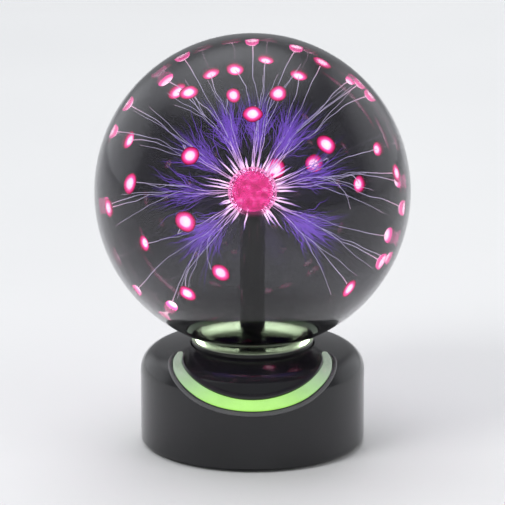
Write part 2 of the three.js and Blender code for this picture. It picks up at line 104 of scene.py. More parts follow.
# ---------------------------------------------------------------- node helpers
class Paint:
    """A material made of nodes: a Principled shader, and the textures that feed it."""

    def __init__(self, name, color, roughness, metallic=0.0, **settings):
        self.material = bpy.data.materials.new(name)
        self.material.use_nodes = True
        self.tree = self.material.node_tree
        self.shader = self.tree.nodes["Principled BSDF"]
        self.output = self.tree.nodes["Material Output"]
        self.set("Base Color", (*color, 1))
        self.set("Roughness", roughness)
        self.set("Metallic", metallic)
        for key, value in settings.items():
            self.set(key.replace("_", " ").title().replace("Ior", "IOR"), value)

    def set(self, socket, value):
        self.shader.inputs[socket].default_value = value

    def node(self, kind, **settings):
        made = self.tree.nodes.new("ShaderNode" + kind)
        for key, value in settings.items():
            if key in made.inputs:
                made.inputs[key].default_value = value
            else:
                setattr(made, key, value)
        return made

    def link(self, source, target):
        self.tree.links.new(source, target)

    def drive(self, socket, source):
        """Feeds one of the shader's sockets from a node."""
        self.link(source, self.shader.inputs[socket])

    def place(self, stretch=(1, 1, 1)):
        """The object's own coordinates, in metres, stretched along each axis."""
        coordinates = self.node("TexCoord")
        mapping = self.node("Mapping")
        mapping.inputs["Scale"].default_value = stretch
        self.link(coordinates.outputs["Object"], mapping.inputs["Vector"])
        return mapping.outputs["Vector"]

    def axis(self, name):
        """The object's own coordinate along one axis, in metres."""
        split = self.node("SeparateXYZ")
        self.link(self.place(), split.inputs["Vector"])
        return split.outputs[name]

    def share(self, value, start, length):
        """How far a value has come from a start, as a share of a length, held between 0 and 1."""
        return self.math("DIVIDE", self.math("SUBTRACT", value, start), length, clamp=True)

    def product(self, first, *others):
        for other in others:
            first = self.math("MULTIPLY", first, other)
        return first

    def noise(self, size, detail=4.0, stretch=(1, 1, 1)):
        """Soft noise whose features are about size metres across."""
        texture = self.node("TexNoise", Scale=1 / size, Detail=detail)
        self.link(self.place(stretch), texture.inputs["Vector"])
        return texture.outputs["Fac"]

    def ramp(self, source, *stops):
        """Colours by position from 0 to 1; a stop is (position, (r, g, b)) or (position, number)."""
        ramp = self.node("ValToRGB")
        elements = ramp.color_ramp.elements
        while len(elements) < len(stops):
            elements.new(0.5)
        for element, (position, value) in zip(elements, stops):
            element.position = position
            element.color = (*value, 1) if isinstance(value, tuple) else (value, value, value, 1)
        self.link(source, ramp.inputs["Fac"])
        return ramp.outputs["Color"]

    def math(self, operation, first, second=0.0, clamp=False):
        made = self.node("Math", operation=operation, use_clamp=clamp)
        for value, socket in zip((first, second), made.inputs):
            if isinstance(value, (int, float)):
                socket.default_value = value
            else:
                self.link(value, socket)
        return made.outputs["Value"]

    def bump(self, height, strength, distance):
        bump = self.node("Bump", Strength=strength, Distance=distance)
        self.link(height, bump.inputs["Height"])
        self.drive("Normal", bump.outputs["Normal"])


def textured(name, color, roughness, grain, grain_depth=0.2, spread=0.12, blotch=0.02, **settings):
    """A solid surface: colour and roughness drift over a blotch's size, and a grain gives it relief."""
    paint = Paint(name, color, roughness, **settings)
    drift = paint.noise(blotch, 3)
    darker = tuple(c * (1 - spread) for c in color)
    lighter = tuple(min(1, c * (1 + spread)) for c in color)
    paint.drive("Base Color", paint.ramp(drift, (0.3, darker), (0.7, lighter)))
    smudge = paint.noise(blotch * 0.6, 6)
    rough = paint.ramp(smudge, (0.35, roughness * 0.8), (0.7, min(1.0, roughness * 1.35)))
    paint.drive("Roughness", rough)
    paint.bump(paint.noise(grain, 5), grain_depth, grain * 0.3)
    return paint


# ---------------------------------------------------------------- materials
def gloss_black():
    """Polished black moulding with faint smudges and hairline scratches."""
    paint = Paint("gloss_black", (0.010, 0.010, 0.012), 0.1, specular_ior_level=0.5)
    tint = paint.ramp(paint.noise(0.03, 3), (0.3, (0.008, 0.008, 0.0095)), (0.7, (0.013, 0.013, 0.0155)))
    paint.drive("Base Color", tint)
    smudge = paint.ramp(paint.noise(0.018, 6), (0.35, 0.07), (0.75, 0.17))
    paint.drive("Roughness", smudge)
    scratches = paint.noise(0.004, 2, (0.08, 1, 1.4))
    paint.bump(scratches, 0.035, 0.0004)
    return paint.material


def satin_grey_and_painted_highlight():
    """Dark grey satin plastic for the switch's knob, and for the lip under the light window, where its paler
    grey is a painted highlight standing in for the light line along the lip.
    """
    return textured("satin_grey_and_painted_highlight", (0.10, 0.10, 0.104), 0.34, 0.0004, 0.15, blotch=0.008).material


def matt_black():
    return textured("matt_black", (0.022, 0.022, 0.024), 0.5, 0.0005, 0.35, specular_ior_level=0.4).material


def light_green():
    """Milky light guide, lit from behind: brightest low in the middle, fading to pale grey at its ends."""
    paint = Paint("light_green", (0.14, 0.19, 0.12), 0.25)
    _, half_width, _ = WINDOW_LOWER
    across = paint.math("DIVIDE", paint.math("ABSOLUTE", paint.axis("X")), half_width)
    rise = paint.share(paint.axis("Z"), 30 * MM, 18 * MM)
    reach = paint.product(paint.math("ADD", across, rise), 0.5)
    glow = paint.ramp(
        reach,
        (0.0, (0.40, 0.84, 0.13)),
        (0.40, (0.35, 0.72, 0.14)),
        (0.66, (0.30, 0.52, 0.22)),
        (0.85, (0.27, 0.35, 0.26)),
        (1.0, (0.22, 0.25, 0.23)),
    )
    paint.drive("Emission Color", glow)
    cloud = paint.ramp(paint.noise(0.009, 3), (0.3, 0.84), (0.7, 1.0))
    paint.drive("Emission Strength", paint.product(cloud, 1.05))
    paint.bump(paint.noise(0.0006, 4), 0.08, 0.0001)
    return paint.material


def pale_liner():
    """Milky greenish liner. Its glow is painted light, as if it were lit from the rear: brightest at its rim,
    towards its top and towards the back. Its outer wall is painted black, a painted shade.
    """
    paint = Paint("pale_liner", (0.4, 0.46, 0.38), 0.28)
    bore = 26 * MM
    squares = [paint.math("POWER", paint.axis(name), 2) for name in ("X", "Y")]
    radius = paint.math("SQRT", paint.math("ADD", *squares))
    outward = paint.share(radius, bore, 3.4 * MM)
    # Painted shade: the base colour darkens outwards across the rim and is black on the outer wall.
    milk, shade, black = (0.45, 0.52, 0.42), (0.36, 0.42, 0.34), (0.012, 0.013, 0.012)
    paint.drive("Base Color", paint.ramp(outward, (0.3, milk), (0.83, shade), (0.89, black)))
    # Painted light: the glow is strongest at the inner rim, towards the top and towards the rear.
    strength = paint.ramp(outward, (0.1, 1.0), (0.45, 0.05), (0.84, 0.02), (0.89, 0.0))
    height = paint.share(paint.axis("Z"), 43.5 * MM, 4 * MM)
    rise = paint.ramp(height, (0.0, 0.05), (0.4, 0.18), (1.0, 1.0))
    cloud = paint.ramp(paint.noise(0.012, 3), (0.3, 0.75), (0.7, 1.0))
    back = paint.share(paint.axis("Y"), -bore, 40 * MM)
    painted_light_from_back = paint.ramp(back, (0.0, 0.10), (0.45, 0.16), (0.62, 0.34), (1.0, 1.0))
    paint.drive("Emission Strength", paint.product(strength, rise, painted_light_from_back, cloud, 28.0))
    paint.set("Emission Color", (0.80, 1.0, 0.66, 1))
    paint.bump(paint.noise(0.001, 4), 0.1, 0.0002)
    return paint.material


def silicone():
    return textured("silicone", (0.52, 0.54, 0.52), 0.35, 0.0012, 0.1).material


def black_rubber():
    return textured("black_rubber", (0.018, 0.018, 0.018), 0.75, 0.0004, 0.4, blotch=0.006).material


def pink_core():
    """Glowing pink wool packed in the bulb: bright tufts over darker red gaps."""
    paint = Paint("pink_core", (0.2, 0.01, 0.05), 0.8)
    tufts = paint.noise(0.0030, 6)
    glow = paint.ramp(
        tufts,
        (0.38, (0.50, 0.003, 0.09)),
        (0.48, (0.85, 0.010, 0.20)),
        (0.56, (1.0, 0.040, 0.30)),
        (0.66, (1.0, 0.20, 0.48)),
    )
    paint.drive("Emission Color", glow)
    paint.set("Emission Strength", 5.2)
    paint.bump(tufts, 0.6, 0.001)
    return paint.material


def bright_steel():
    paint = Paint("bright_steel", (0.62, 0.63, 0.64), 0.3, 1.0)
    brushed = paint.noise(0.0012, 4, (1, 12, 1))
    paint.drive("Roughness", paint.ramp(brushed, (0.3, 0.22), (0.7, 0.42)))
    tint = paint.ramp(paint.noise(0.005, 3), (0.3, (0.55, 0.56, 0.57)), (0.7, (0.68, 0.69, 0.70)))
    paint.drive("Base Color", tint)
    paint.bump(brushed, 0.08, 0.0001)
    return paint.material


def brass():
    return textured("brass", (0.72, 0.50, 0.20), 0.25, 0.0008, 0.1, metallic=1.0).material


def copper():
    """Enamelled wire lying in close turns across the winding's axis."""
    paint = Paint("copper", (0.60, 0.26, 0.11), 0.3, 1.0)
    turns = paint.node("TexWave", wave_type="BANDS", bands_direction="X", Scale=420, Distortion=0.4)
    paint.link(paint.place(), turns.inputs["Vector"])
    tint = paint.ramp(turns.outputs["Fac"], (0.1, (0.28, 0.10, 0.04)), (0.7, (0.70, 0.33, 0.15)))
    paint.drive("Base Color", tint)
    paint.bump(turns.outputs["Fac"], 0.7, 0.0004)
    return paint.material


def aluminium():
    paint = Paint("aluminium", (0.56, 0.57, 0.58), 0.38, 1.0)
    drawn = paint.noise(0.0015, 4, (1, 1, 0.06))
    paint.drive("Roughness", paint.ramp(drawn, (0.3, 0.3), (0.7, 0.5)))
    paint.bump(drawn, 0.15, 0.0002)
    return paint.material


def ferrite():
    return textured("ferrite", (0.045, 0.043, 0.045), 0.7, 0.0003, 0.4, 0.25).material


def circuit_board():
    """Green lacquer over a maze of copper tracks, which show paler and stand a little proud."""
    paint = Paint("circuit_board", (0.02, 0.14, 0.05), 0.35)
    maze = paint.node("TexBrick", Scale=190, offset=0.37)
    maze.inputs["Mortar Size"].default_value = 0.12
    paint.link(paint.place(), maze.inputs["Vector"])
    tint = paint.ramp(maze.outputs["Fac"], (0.3, (0.012, 0.10, 0.035)), (0.6, (0.05, 0.24, 0.09)))
    paint.drive("Base Color", tint)
    paint.bump(maze.outputs["Fac"], 0.3, 0.0001)
    return paint.material


def capacitor_sleeve():
    return textured("capacitor_sleeve", (0.02, 0.035, 0.10), 0.3, 0.002, 0.06).material


def red_wire():
    return textured("red_wire", (0.42, 0.012, 0.012), 0.4, 0.001, 0.1).material


def white_wire():
    return textured("white_wire", (0.62, 0.61, 0.57), 0.4, 0.001, 0.1).material


def led_lens():
    paint = Paint("led_lens", (0.4, 0.8, 0.3), 0.15, emission_strength=4.0)
    glow = paint.ramp(paint.noise(0.002, 2), (0.3, (0.25, 0.9, 0.2)), (0.7, (0.6, 1.0, 0.4)))
    paint.drive("Emission Color", glow)
    return paint.material


def glass(name, tint):
    """Clear or tinted glass. Lamps shine straight through it, so its shadow is only its own tint."""
    paint = Paint(name, tint, 0.0, ior=1.47, transmission_weight=1.0)
    paint.bump(paint.noise(0.035, 1), 0.03, 0.002)
    lamp_side = paint.node("LightPath")
    clear = paint.node("BsdfTransparent", Color=(*(0.5 + 0.5 * c for c in tint), 1))
    mix = paint.node("MixShader")
    paint.link(lamp_side.outputs["Is Shadow Ray"], mix.inputs["Fac"])
    paint.link(paint.shader.outputs["BSDF"], mix.inputs[1])
    paint.link(clear.outputs["BSDF"], mix.inputs[2])
    paint.link(mix.outputs["Shader"], paint.output.inputs["Surface"])
    return paint


def globe_glass():
    """Glass with a dark tint that is painted shade, standing in for the dark behind the globe; it is clearer
    in a belt low on the globe, with faint drifts in its depth of colour.
    """
    paint = glass("globe_glass", (0.19, 0.185, 0.21))
    height = paint.share(paint.axis("Z"), 48 * MM, 50 * MM)
    drift = paint.product(paint.math("SUBTRACT", paint.noise(0.03, 2), 0.5), 0.03)
    tint = paint.ramp(
        paint.math("ADD", height, drift),
        (0.04, (0.13, 0.13, 0.13)),
        (0.24, (0.15, 0.15, 0.15)),
        (0.38, (0.33, 0.34, 0.335)),
        (0.54, (0.32, 0.32, 0.33)),
        (0.78, (0.165, 0.16, 0.18)),
        (1.0, (0.145, 0.14, 0.16)),
    )
    paint.drive("Base Color", tint)
    return paint.material


def bulb_glass():
    """Clear round the electrode, where a pink glow clings to it, and blackened along the stem."""
    paint = glass("bulb_glass", (0.93, 0.90, 0.94))
    stem_top = GLOBE_C.z - 11.5 * MM
    height = paint.share(paint.axis("Z"), stem_top, 4 * MM)
    tint = paint.ramp(height, (0.1, (0.05, 0.05, 0.05)), (0.9, (0.95, 0.91, 0.95)))
    paint.drive("Base Color", tint)
    cloud = paint.ramp(paint.noise(0.004, 3), (0.3, 0.6), (0.7, 1.0))
    paint.drive("Emission Strength", paint.product(height, cloud))
    paint.set("Emission Color", (1.0, 0.15, 0.44, 1))
    return paint.material


def lit_gas(name, attribute, colors, strengths):
    """Glowing gas: its colour and strength, each by an attribute that runs from 0 to 1."""
    paint = Paint(name, (0, 0, 0), 1.0, specular_ior_level=0.0)
    along = paint.node("Attribute", attribute_name=attribute).outputs["Fac"]
    ripple = paint.ramp(paint.noise(0.006, 2), (0.3, 0.7), (0.7, 1.0))
    paint.drive("Emission Color", paint.ramp(along, *colors))
    top = max(value for _, value in strengths)
    level = paint.ramp(along, *((position, value / top) for position, value in strengths))
    paint.drive("Emission Strength", paint.product(level, ripple, top))
    return paint.material


def thread_light():
    """White-pink at the electrode, lilac along the way, pink again where it meets the glass."""
    colors = [
        (0.0, (1.0, 0.5, 0.8)), (0.14, (0.85, 0.55, 1.0)), (0.3, (0.64, 0.52, 1.0)),
        (0.5, (0.68, 0.62, 0.92)), (0.85, (0.72, 0.64, 0.80)), (1.0, (1.0, 0.50, 0.66)),
    ]
    strengths = [(0.0, 6.0), (0.14, 7.0), (0.3, 5.6), (0.6, 5.0), (0.93, 5.5), (1.0, 10.0)]
    return lit_gas("thread_light", "reach", colors, strengths)


def streak_light():
    colors = [(0.0, (0.50, 0.20, 1.0)), (0.3, (0.36, 0.16, 1.0)), (1.0, (0.26, 0.12, 0.80))]
    return lit_gas("streak_light", "reach", colors, [(0.0, 4.2), (0.5, 4.6), (1.0, 2.6)])


def ray_light():
    colors = [
        (0.0, (1.0, 0.32, 0.60)), (0.2, (1.0, 0.66, 0.84)), (0.6, (0.95, 0.62, 1.0)),
        (1.0, (0.45, 0.28, 1.0)),
    ]
    return lit_gas("ray_light", "reach", colors, [(0.0, 8.0), (0.2, 12.0), (0.6, 8.0), (1.0, 3.0)])


def spot_light():
    """Pale pink in the middle, a crimson ring round it, then almost dark."""
    colors = [
        (0.0, (1.0, 0.66, 0.78)), (0.44, (1.0, 0.52, 0.66)), (0.60, (1.0, 0.09, 0.38)),
        (0.85, (0.95, 0.012, 0.20)), (1.0, (0.7, 0.006, 0.10)),
    ]
    strengths = [(0.0, 14.0), (0.46, 13.0), (0.62, 10.0), (0.85, 6.0), (1.0, 0.8)]
    return lit_gas("spot_light", "rim", colors, strengths)


MATERIALS = {}


def material(recipe):
    """The material that a recipe makes, made once."""
    if recipe not in MATERIALS:
        MATERIALS[recipe] = recipe()
    return MATERIALS[recipe]


# ---------------------------------------------------------------- mesh helpers
def piece(name, mesh, recipe, replaces=(), body=BODY):
    """Puts a finished mesh into the scene as one named piece that rides on a body."""
    made = bpy.data.objects.new(name, mesh)
    bpy.context.scene.collection.objects.link(made)
    mesh.materials.clear()
    mesh.materials.append(material(recipe))
    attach(made, body)
    if replaces:
        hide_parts(*replaces)
    return made


def mesh_of(name, points, faces, sharp=35):
    """A mesh with outward faces, smooth except along edges sharper than an angle in degrees."""
    mesh = bpy.data.meshes.new(name)
    mesh.from_pydata(points, [], faces)
    return tidied(mesh, sharp)


def tidied(mesh, sharp=35):
    shape = bmesh.new()
    shape.from_mesh(mesh)
    bmesh.ops.remove_doubles(shape, verts=shape.verts, dist=1e-7)
    bmesh.ops.recalc_face_normals(shape, faces=shape.faces)
    for face in shape.faces:
        face.smooth = True
    for edge in shape.edges:
        edge.smooth = len(edge.link_faces) == 2 and edge.calc_face_angle() < math.radians(sharp)
    shape.to_mesh(mesh)
    shape.free()
    return mesh


def arc(centre, radius, start, end, steps):
    """Points on an arc in the (radius, height) plane; angles in radians."""
    turns = [start + (end - start) * i / steps for i in range(steps + 1)]
    return [(centre[0] + radius * math.cos(t), centre[1] + radius * math.sin(t)) for t in turns]


def on_curve(start, knee, end, t):
    """A place part way along the curve that leaves start towards knee and reaches end from there."""
    return start * (1 - t) ** 2 + knee * 2 * t * (1 - t) + end * t**2


def rounded(outline, cut, steps=4):
    """A closed outline with each clear corner replaced by a small curve, cut back by at most cut."""
    made = []
    count = len(outline)
    for i, corner in enumerate(outline):
        here = Vector(corner)
        before = Vector(outline[i - 1]) - here
        after = Vector(outline[(i + 1) % count]) - here
        if before.length < 1e-9 or after.length < 1e-9 or math.pi - before.angle(after) < math.radians(14):
            made.append(tuple(here))
            continue
        start = here + before.normalized() * min(cut, 0.45 * before.length)
        end = here + after.normalized() * min(cut, 0.45 * after.length)
        for step in range(steps + 1):
            made.append(tuple(on_curve(start, here, end, step / steps)))
    return made


def lathe(name, outline, segments=128, sharp=35):
    """An outline of (radius, height) turned about Z. It starts and ends on the axis, or closes on itself."""
    closed = min(r for r, _ in outline) > 1e-7
    points = []
    for turn in range(segments):
        angle = 2 * math.pi * turn / segments
        points += [(r * math.cos(angle), r * math.sin(angle), z) for r, z in outline]
    count = len(outline)
    faces = []
    for turn in range(segments):
        here, there = turn * count, (turn + 1) % segments * count
        for i in range(count if closed else count - 1):
            j = (i + 1) % count
            faces.append((here + i, here + j, there + j, there + i))
    return mesh_of(name, points, faces, sharp)


def prism(name, outline, to_space, low, high, sharp=35):
    """A flat outline pushed from one depth to another; to_space(u, v, depth) gives each point's place."""
    count = len(outline)
    points = [to_space(u, v, depth) for depth in (low, high) for u, v in outline]
    faces = [(i, (i + 1) % count, count + (i + 1) % count, count + i) for i in range(count)]
    faces += [tuple(range(count)), tuple(range(count, 2 * count))]
    return mesh_of(name, points, faces, sharp)


def across_y(u, v, depth):
    return (u, depth, v)


def upright(u, v, depth):
    return (u, v, depth)


def circle(centre, radius, steps=48):
    return arc(centre, radius, 0, 2 * math.pi * (1 - 1 / steps), steps - 1)


def rectangle(low, high):
    return [(low[0], low[1]), (high[0], low[1]), (high[0], high[1]), (low[0], high[1])]


def box_outline(low, high, corner, steps=5):
    """A rectangle between two corners, with its own corners rounded."""
    return rounded(rectangle(low, high), corner, steps)


def peg(centre, radius, low, high, steps=24):
    """An upright round peg, to join on or to cut with."""
    return prism("peg", circle(centre.xy, radius, steps), upright, low, high)


def combined(mesh, other, operation):
    """The mesh joined with, cut by or kept inside another closed mesh."""
    first = bpy.data.objects.new("first", mesh)
    second = bpy.data.objects.new("second", other)
    for made in (first, second):
        bpy.context.scene.collection.objects.link(made)
    modifier = first.modifiers.new("boolean", "BOOLEAN")
    modifier.operation = operation
    modifier.solver = "MANIFOLD"
    modifier.object = second
    bpy.context.view_layer.update()
    evaluated = first.evaluated_get(bpy.context.evaluated_depsgraph_get())
    result = bpy.data.meshes.new_from_object(evaluated)
    for made in (first, second):
        bpy.data.objects.remove(made)
    return result


def cut(mesh, *cutters):
    for cutter in cutters:
        mesh = combined(mesh, cutter, "DIFFERENCE")
    return mesh


def bead(name, loop, normals, half_width, height, closed=True):
    """A low rounded bead along a line of points on a surface, half sunk into it."""
    sides = 12
    points = []
    count = len(loop)
    for i, here in enumerate(loop):
        before = loop[i - 1] if closed or i else here
        after = loop[(i + 1) % count] if closed or i < count - 1 else here
        along = (after - before).normalized()
        up = normals[i]
        side = along.cross(up).normalized()
        taper = 1 if closed else min(1, (0.12 + min(i, count - 1 - i) / 7)) ** 0.5
        for step in range(sides):
            turn = 2 * math.pi * step / sides
            flat = side * half_width * taper * math.cos(turn)
            points.append(here + flat + up * height * taper * math.sin(turn))
    faces = []
    for i in range(count if closed else count - 1):
        here, there = i * sides, (i + 1) % count * sides
        for step in range(sides):
            faces.append((here + step, here + (step + 1) % sides, there + (step + 1) % sides, there + step))
    if not closed:
        faces += [tuple(range(sides)), tuple(range((count - 1) * sides, count * sides))]
    return mesh_of(name, points, faces, 60)


# ---------------------------------------------------------------- glass
def low_angle(sphere, radius):
    return -math.acos(radius / sphere)


def globe_mesh():
    centre = (0, GLOBE_C.z)
    inside = GLOBE_R - GLOBE_WALL
    bore = NECK_R - GLOBE_WALL
    join = 4 * MM

    def side(sphere, neck, steps):
        """One surface, from the neck's end up to the top of the sphere."""
        start = low_angle(sphere, neck + join)
        meet = arc(centre, sphere, start, start, 1)[0]
        bend = Vector((neck, meet[1] - 5 * MM))
        knee = Vector((neck, meet[1] - 1.6 * MM))
        curve = [on_curve(bend, knee, Vector(meet), t) for t in (0, 0.2, 0.4, 0.6, 0.8)]
        return [(neck, NECK_Z)] + [tuple(p) for p in curve] + arc(centre, sphere, start, math.pi / 2, steps)

    outer = side(GLOBE_R, NECK_R, 110)
    inner = side(inside, bore, 110)
    outer[-1] = (0, outer[-1][1])
    inner[-1] = (0, inner[-1][1])
    return lathe("globe", outer[::-1] + inner, 176, 60)


def stem_glass_mesh():
    """The flared foot, the tube and the bulb round the electrode, as one thin glass wall."""
    centre = (0, GLOBE_C.z)
    inside = BULB_R - BULB_WALL
    bore = STEM_R - 1.4 * MM
    foot_inner = [(bore, 52), (5.2, 47.5), (6.3, 44.8), (8, 42.6), (10.4, 41), (13.2, 40), (18, 39)]
    foot_outer = [(14, 41.5), (11.2, 42.4), (9, 44), (7.5, 46), (6.6, 48.5), (6.1, 51.2)]
    inner = [(bore, foot_inner[0][1] * MM)] + [(r * MM, z * MM) for r, z in foot_inner[1:]]
    outer = [(r * MM, z * MM) for r, z in foot_outer] + [(STEM_R, 54 * MM)]
    rim = [(FLARE_R, TUBE_LOW.z), (FLARE_R, TUBE_LOW.z + 1.6 * MM)]
    bulb_in = arc(centre, inside, math.pi / 2, low_angle(inside, bore), 32)
    bulb_out = arc(centre, BULB_R, low_angle(BULB_R, STEM_R), math.pi / 2, 32)
    bulb_in[0] = (0, bulb_in[0][1])
    bulb_out[-1] = (0, bulb_out[-1][1])
    return lathe("stem_glass", bulb_in + inner + rim + outer + bulb_out, 64, 50)


def exhaust_tip_mesh():
    low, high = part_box("exhaust_tip")
    top = high.z
    outline = [
        (0, low.z), (0.5 * MM, low.z + 0.15 * MM), (0.9 * MM, low.z + 0.8 * MM),
        (1.6 * MM, low.z + 3.5 * MM), (2.3 * MM, low.z + 5.5 * MM), (2.5 * MM, top - 0.3 * MM),
        (2.3 * MM, top), (0, top),
    ]
    mesh = lathe("pumping_tip", outline, 32)
    mesh.transform(translation((low + high) / 2))
    return mesh


def translation(place):
    """A move in the level plane to a place, keeping heights."""
    return Matrix.Translation(Vector((place.x, place.y, 0)))


def core_mesh():
    """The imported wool, a lumpy ball."""
    shape = bmesh.new()
    bmesh.ops.create_icosphere(shape, subdivisions=6, radius=1)
    for vert in shape.verts:
        direction = vert.co.normalized()
        lump = noise.noise(direction * 5) * 0.35 + noise.noise(direction * 14) * 0.3
        vert.co = GLOBE_C + direction * (CORE_R + (0.25 + 0.5 * lump) * MM)
    mesh = bpy.data.meshes.new("core")
    shape.to_mesh(mesh)
    shape.free()
    return tidied(mesh, 80)


def make_globe():
    piece("globe", globe_mesh(), globe_glass, ["glass_globe"])
    piece("stem_glass", stem_glass_mesh(), bulb_glass, ["electrode_tube"])
    piece("pumping_tip", exhaust_tip_mesh(), bulb_glass, ["exhaust_tip"])
    piece("core", core_mesh(), pink_core, ["electrode_core"])
    low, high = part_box("stem_sleeve")
    outline = rectangle((1.6 * MM, low.z), (high.x, high.z))
    sleeve = lathe("sleeve", rounded(outline, 0.4 * MM), 48)
    piece("sleeve", sleeve, matt_black, ["stem_sleeve"])


# ---------------------------------------------------------------- plasma
RIGHT = Vector((1, 0, 0))
UP = Vector((0, math.sin(VIEW_ELEVATION), math.cos(VIEW_ELEVATION)))
FRONT = Vector((0, -math.cos(VIEW_ELEVATION), math.sin(VIEW_ELEVATION)))
GAS_R = GLOBE_R - GLOBE_WALL - 0.4 * MM
GLOW_R = BULB_R + 0.15 * MM

# Where the threads meet the glass, read off the print, as shares of the globe's radius across and up:
# first those taken to be on the near half of the globe, then those on the far half.
NEAR_SPOTS = [
    (0.00, 0.95), (0.28, 0.91), (0.44, 0.81), (-0.45, 0.86), (-0.12, 0.59), (0.16, 0.60), (-0.40, 0.61),
    (0.00, 0.47), (-0.80, 0.56), (-0.89, 0.38), (0.69, 0.69), (0.75, 0.61), (0.46, 0.28), (-0.39, 0.21),
    (-0.77, 0.04), (-0.91, -0.11), (0.91, 0.11), (0.96, -0.11), (0.82, -0.45), (-0.42, -0.20), (-0.20, -0.52),
    (-0.41, -0.65), (-0.76, -0.65), (0.61, -0.62),
]
FAR_SPOTS = [
    (0.09, 0.89), (0.31, 0.79), (-0.12, 0.83), (-0.28, 0.80), (-0.58, 0.75), (-0.51, 0.68), (0.65, 0.74),
    (-0.83, 0.35), (0.84, 0.29), (0.42, 0.20), (0.16, 0.17), (0.72, 0.06), (0.97, 0.07), (-0.97, -0.09),
    (-0.73, -0.34), (0.91, -0.29), (0.90, -0.44), (-0.54, -0.76),
]

# The violet bunches in which the threads leave the electrode: the way each points, and how dense it is.
TRUNKS = [
    ((-0.20, 0.50), 1.0), ((0.05, 0.55), 0.7), ((0.34, 0.52), 1.2), ((-0.58, 0.38), 0.6),
    ((-0.40, -0.36), 0.9), ((0.52, -0.35), 1.0), ((0.60, 0.16), 0.45), ((-0.60, 0.0), 0.4),
]


def toward(across, up, side):
    """The direction from the globe's centre to a place given as shares of its radius."""
    depth = math.sqrt(max(0.0, 1 - across * across - up * up))
    return (RIGHT * across + UP * up + FRONT * depth * side).normalized()


def sideways(direction, depth):
    """A direction turned into the plane that faces the front, then back out of it by a share of depth."""
    flat = direction - FRONT * direction.dot(FRONT)
    return (flat.normalized() + FRONT * depth).normalized()


class Gas:
    """One mesh of glowing gas, whose vertices each carry a number from 0 to 1 under an attribute's name."""

    def __init__(self, attribute):
        self.attribute = attribute
        self.points = []
        self.faces = []
        self.values = []

    def thread(self, line, radii, reaches, sides=5):
        """A closed round thread along a line."""
        start = len(self.points)
        side = (line[1] - line[0]).normalized().orthogonal()
        last = len(line) - 1
        for i, here in enumerate(line):
            along = (line[min(i + 1, last)] - line[max(i - 1, 0)]).normalized()
            side = (side - along * side.dot(along)).normalized()
            other = along.cross(side)
            for step in range(sides):
                turn = 2 * math.pi * step / sides
                self.points.append(here + (side * math.cos(turn) + other * math.sin(turn)) * radii[i])
                self.values.append(reaches[i])
        for i in range(last):
            here = start + i * sides
            for step in range(sides):
                after = (step + 1) % sides
                self.faces.append((here + step, here + after, here + sides + after, here + sides + step))
        self.faces.append(tuple(start + step for step in reversed(range(sides))))
        self.faces.append(tuple(start + last * sides + step for step in range(sides)))

    def spot(self, direction, radius, thickness, squeeze, turn, fade):
        """A flat blob of light against the inside of the glass, whose value goes through the two of fade."""
        middle, edge_value = fade
        rings, around = 9, 26
        side = direction.orthogonal().normalized()
        other = direction.cross(side)
        first = side * math.cos(turn) + other * math.sin(turn)
        second = other * math.cos(turn) - side * math.sin(turn)
        start = len(self.points)
        layers = [(ring / rings, 1) for ring in range(rings + 1)]
        layers += [(ring / rings, -1) for ring in reversed(range(rings))]
        for share, face in layers:
            swell = thickness * math.sqrt(1 - share * share)
            for step in range(around):
                angle = 2 * math.pi * step / around
                edge = noise.noise(direction * 9 + Vector((math.cos(angle), math.sin(angle), 0)))
                reach = radius * share * (1 + 0.12 * edge)
                offset = first * math.cos(angle) * reach + second * math.sin(angle) * reach * squeeze
                out = (direction * GAS_R + offset).normalized()
                self.points.append(GLOBE_C + out * (GAS_R - swell + swell * face))
                self.values.append(middle + (edge_value - middle) * share)
        for ring in range(len(layers) - 1):
            for step in range(around):
                here = start + ring * around + step
                after = start + ring * around + (step + 1) % around
                self.faces.append((here, after, after + around, here + around))

    def mesh(self, name):
        mesh = bpy.data.meshes.new(name)
        mesh.from_pydata(self.points, [], self.faces)
        attribute = mesh.attributes.new(self.attribute, "FLOAT", "POINT")
        attribute.data.foreach_set("value", self.values)
        return tidied(mesh, 70)


def wandering(ways, inner, outer, swing, seed, steps):
    """A slightly wavy line from one radius to another, that turns smoothly through the ways given."""
    start, bend, end = ways
    line = []
    for i in range(steps + 1):
        t = i / steps
        direction = on_curve(start, bend, end, t)
        drift = noise.noise_vector(Vector((seed * 3.7, t * 2.4, seed)))
        drift += noise.noise_vector(Vector((t * 8.0, seed * 1.3, seed))) * 0.3
        hold = math.sin(math.pi * t) ** 0.8
        line.append(GLOBE_C + direction.normalized() * (inner + (outer - inner) * t) + drift * swing * hold)
    return line


def steps_to_one(count):
    return [i / count for i in range(count + 1)]


THREAD_STEPS = 44
TWIG_STEPS = 22


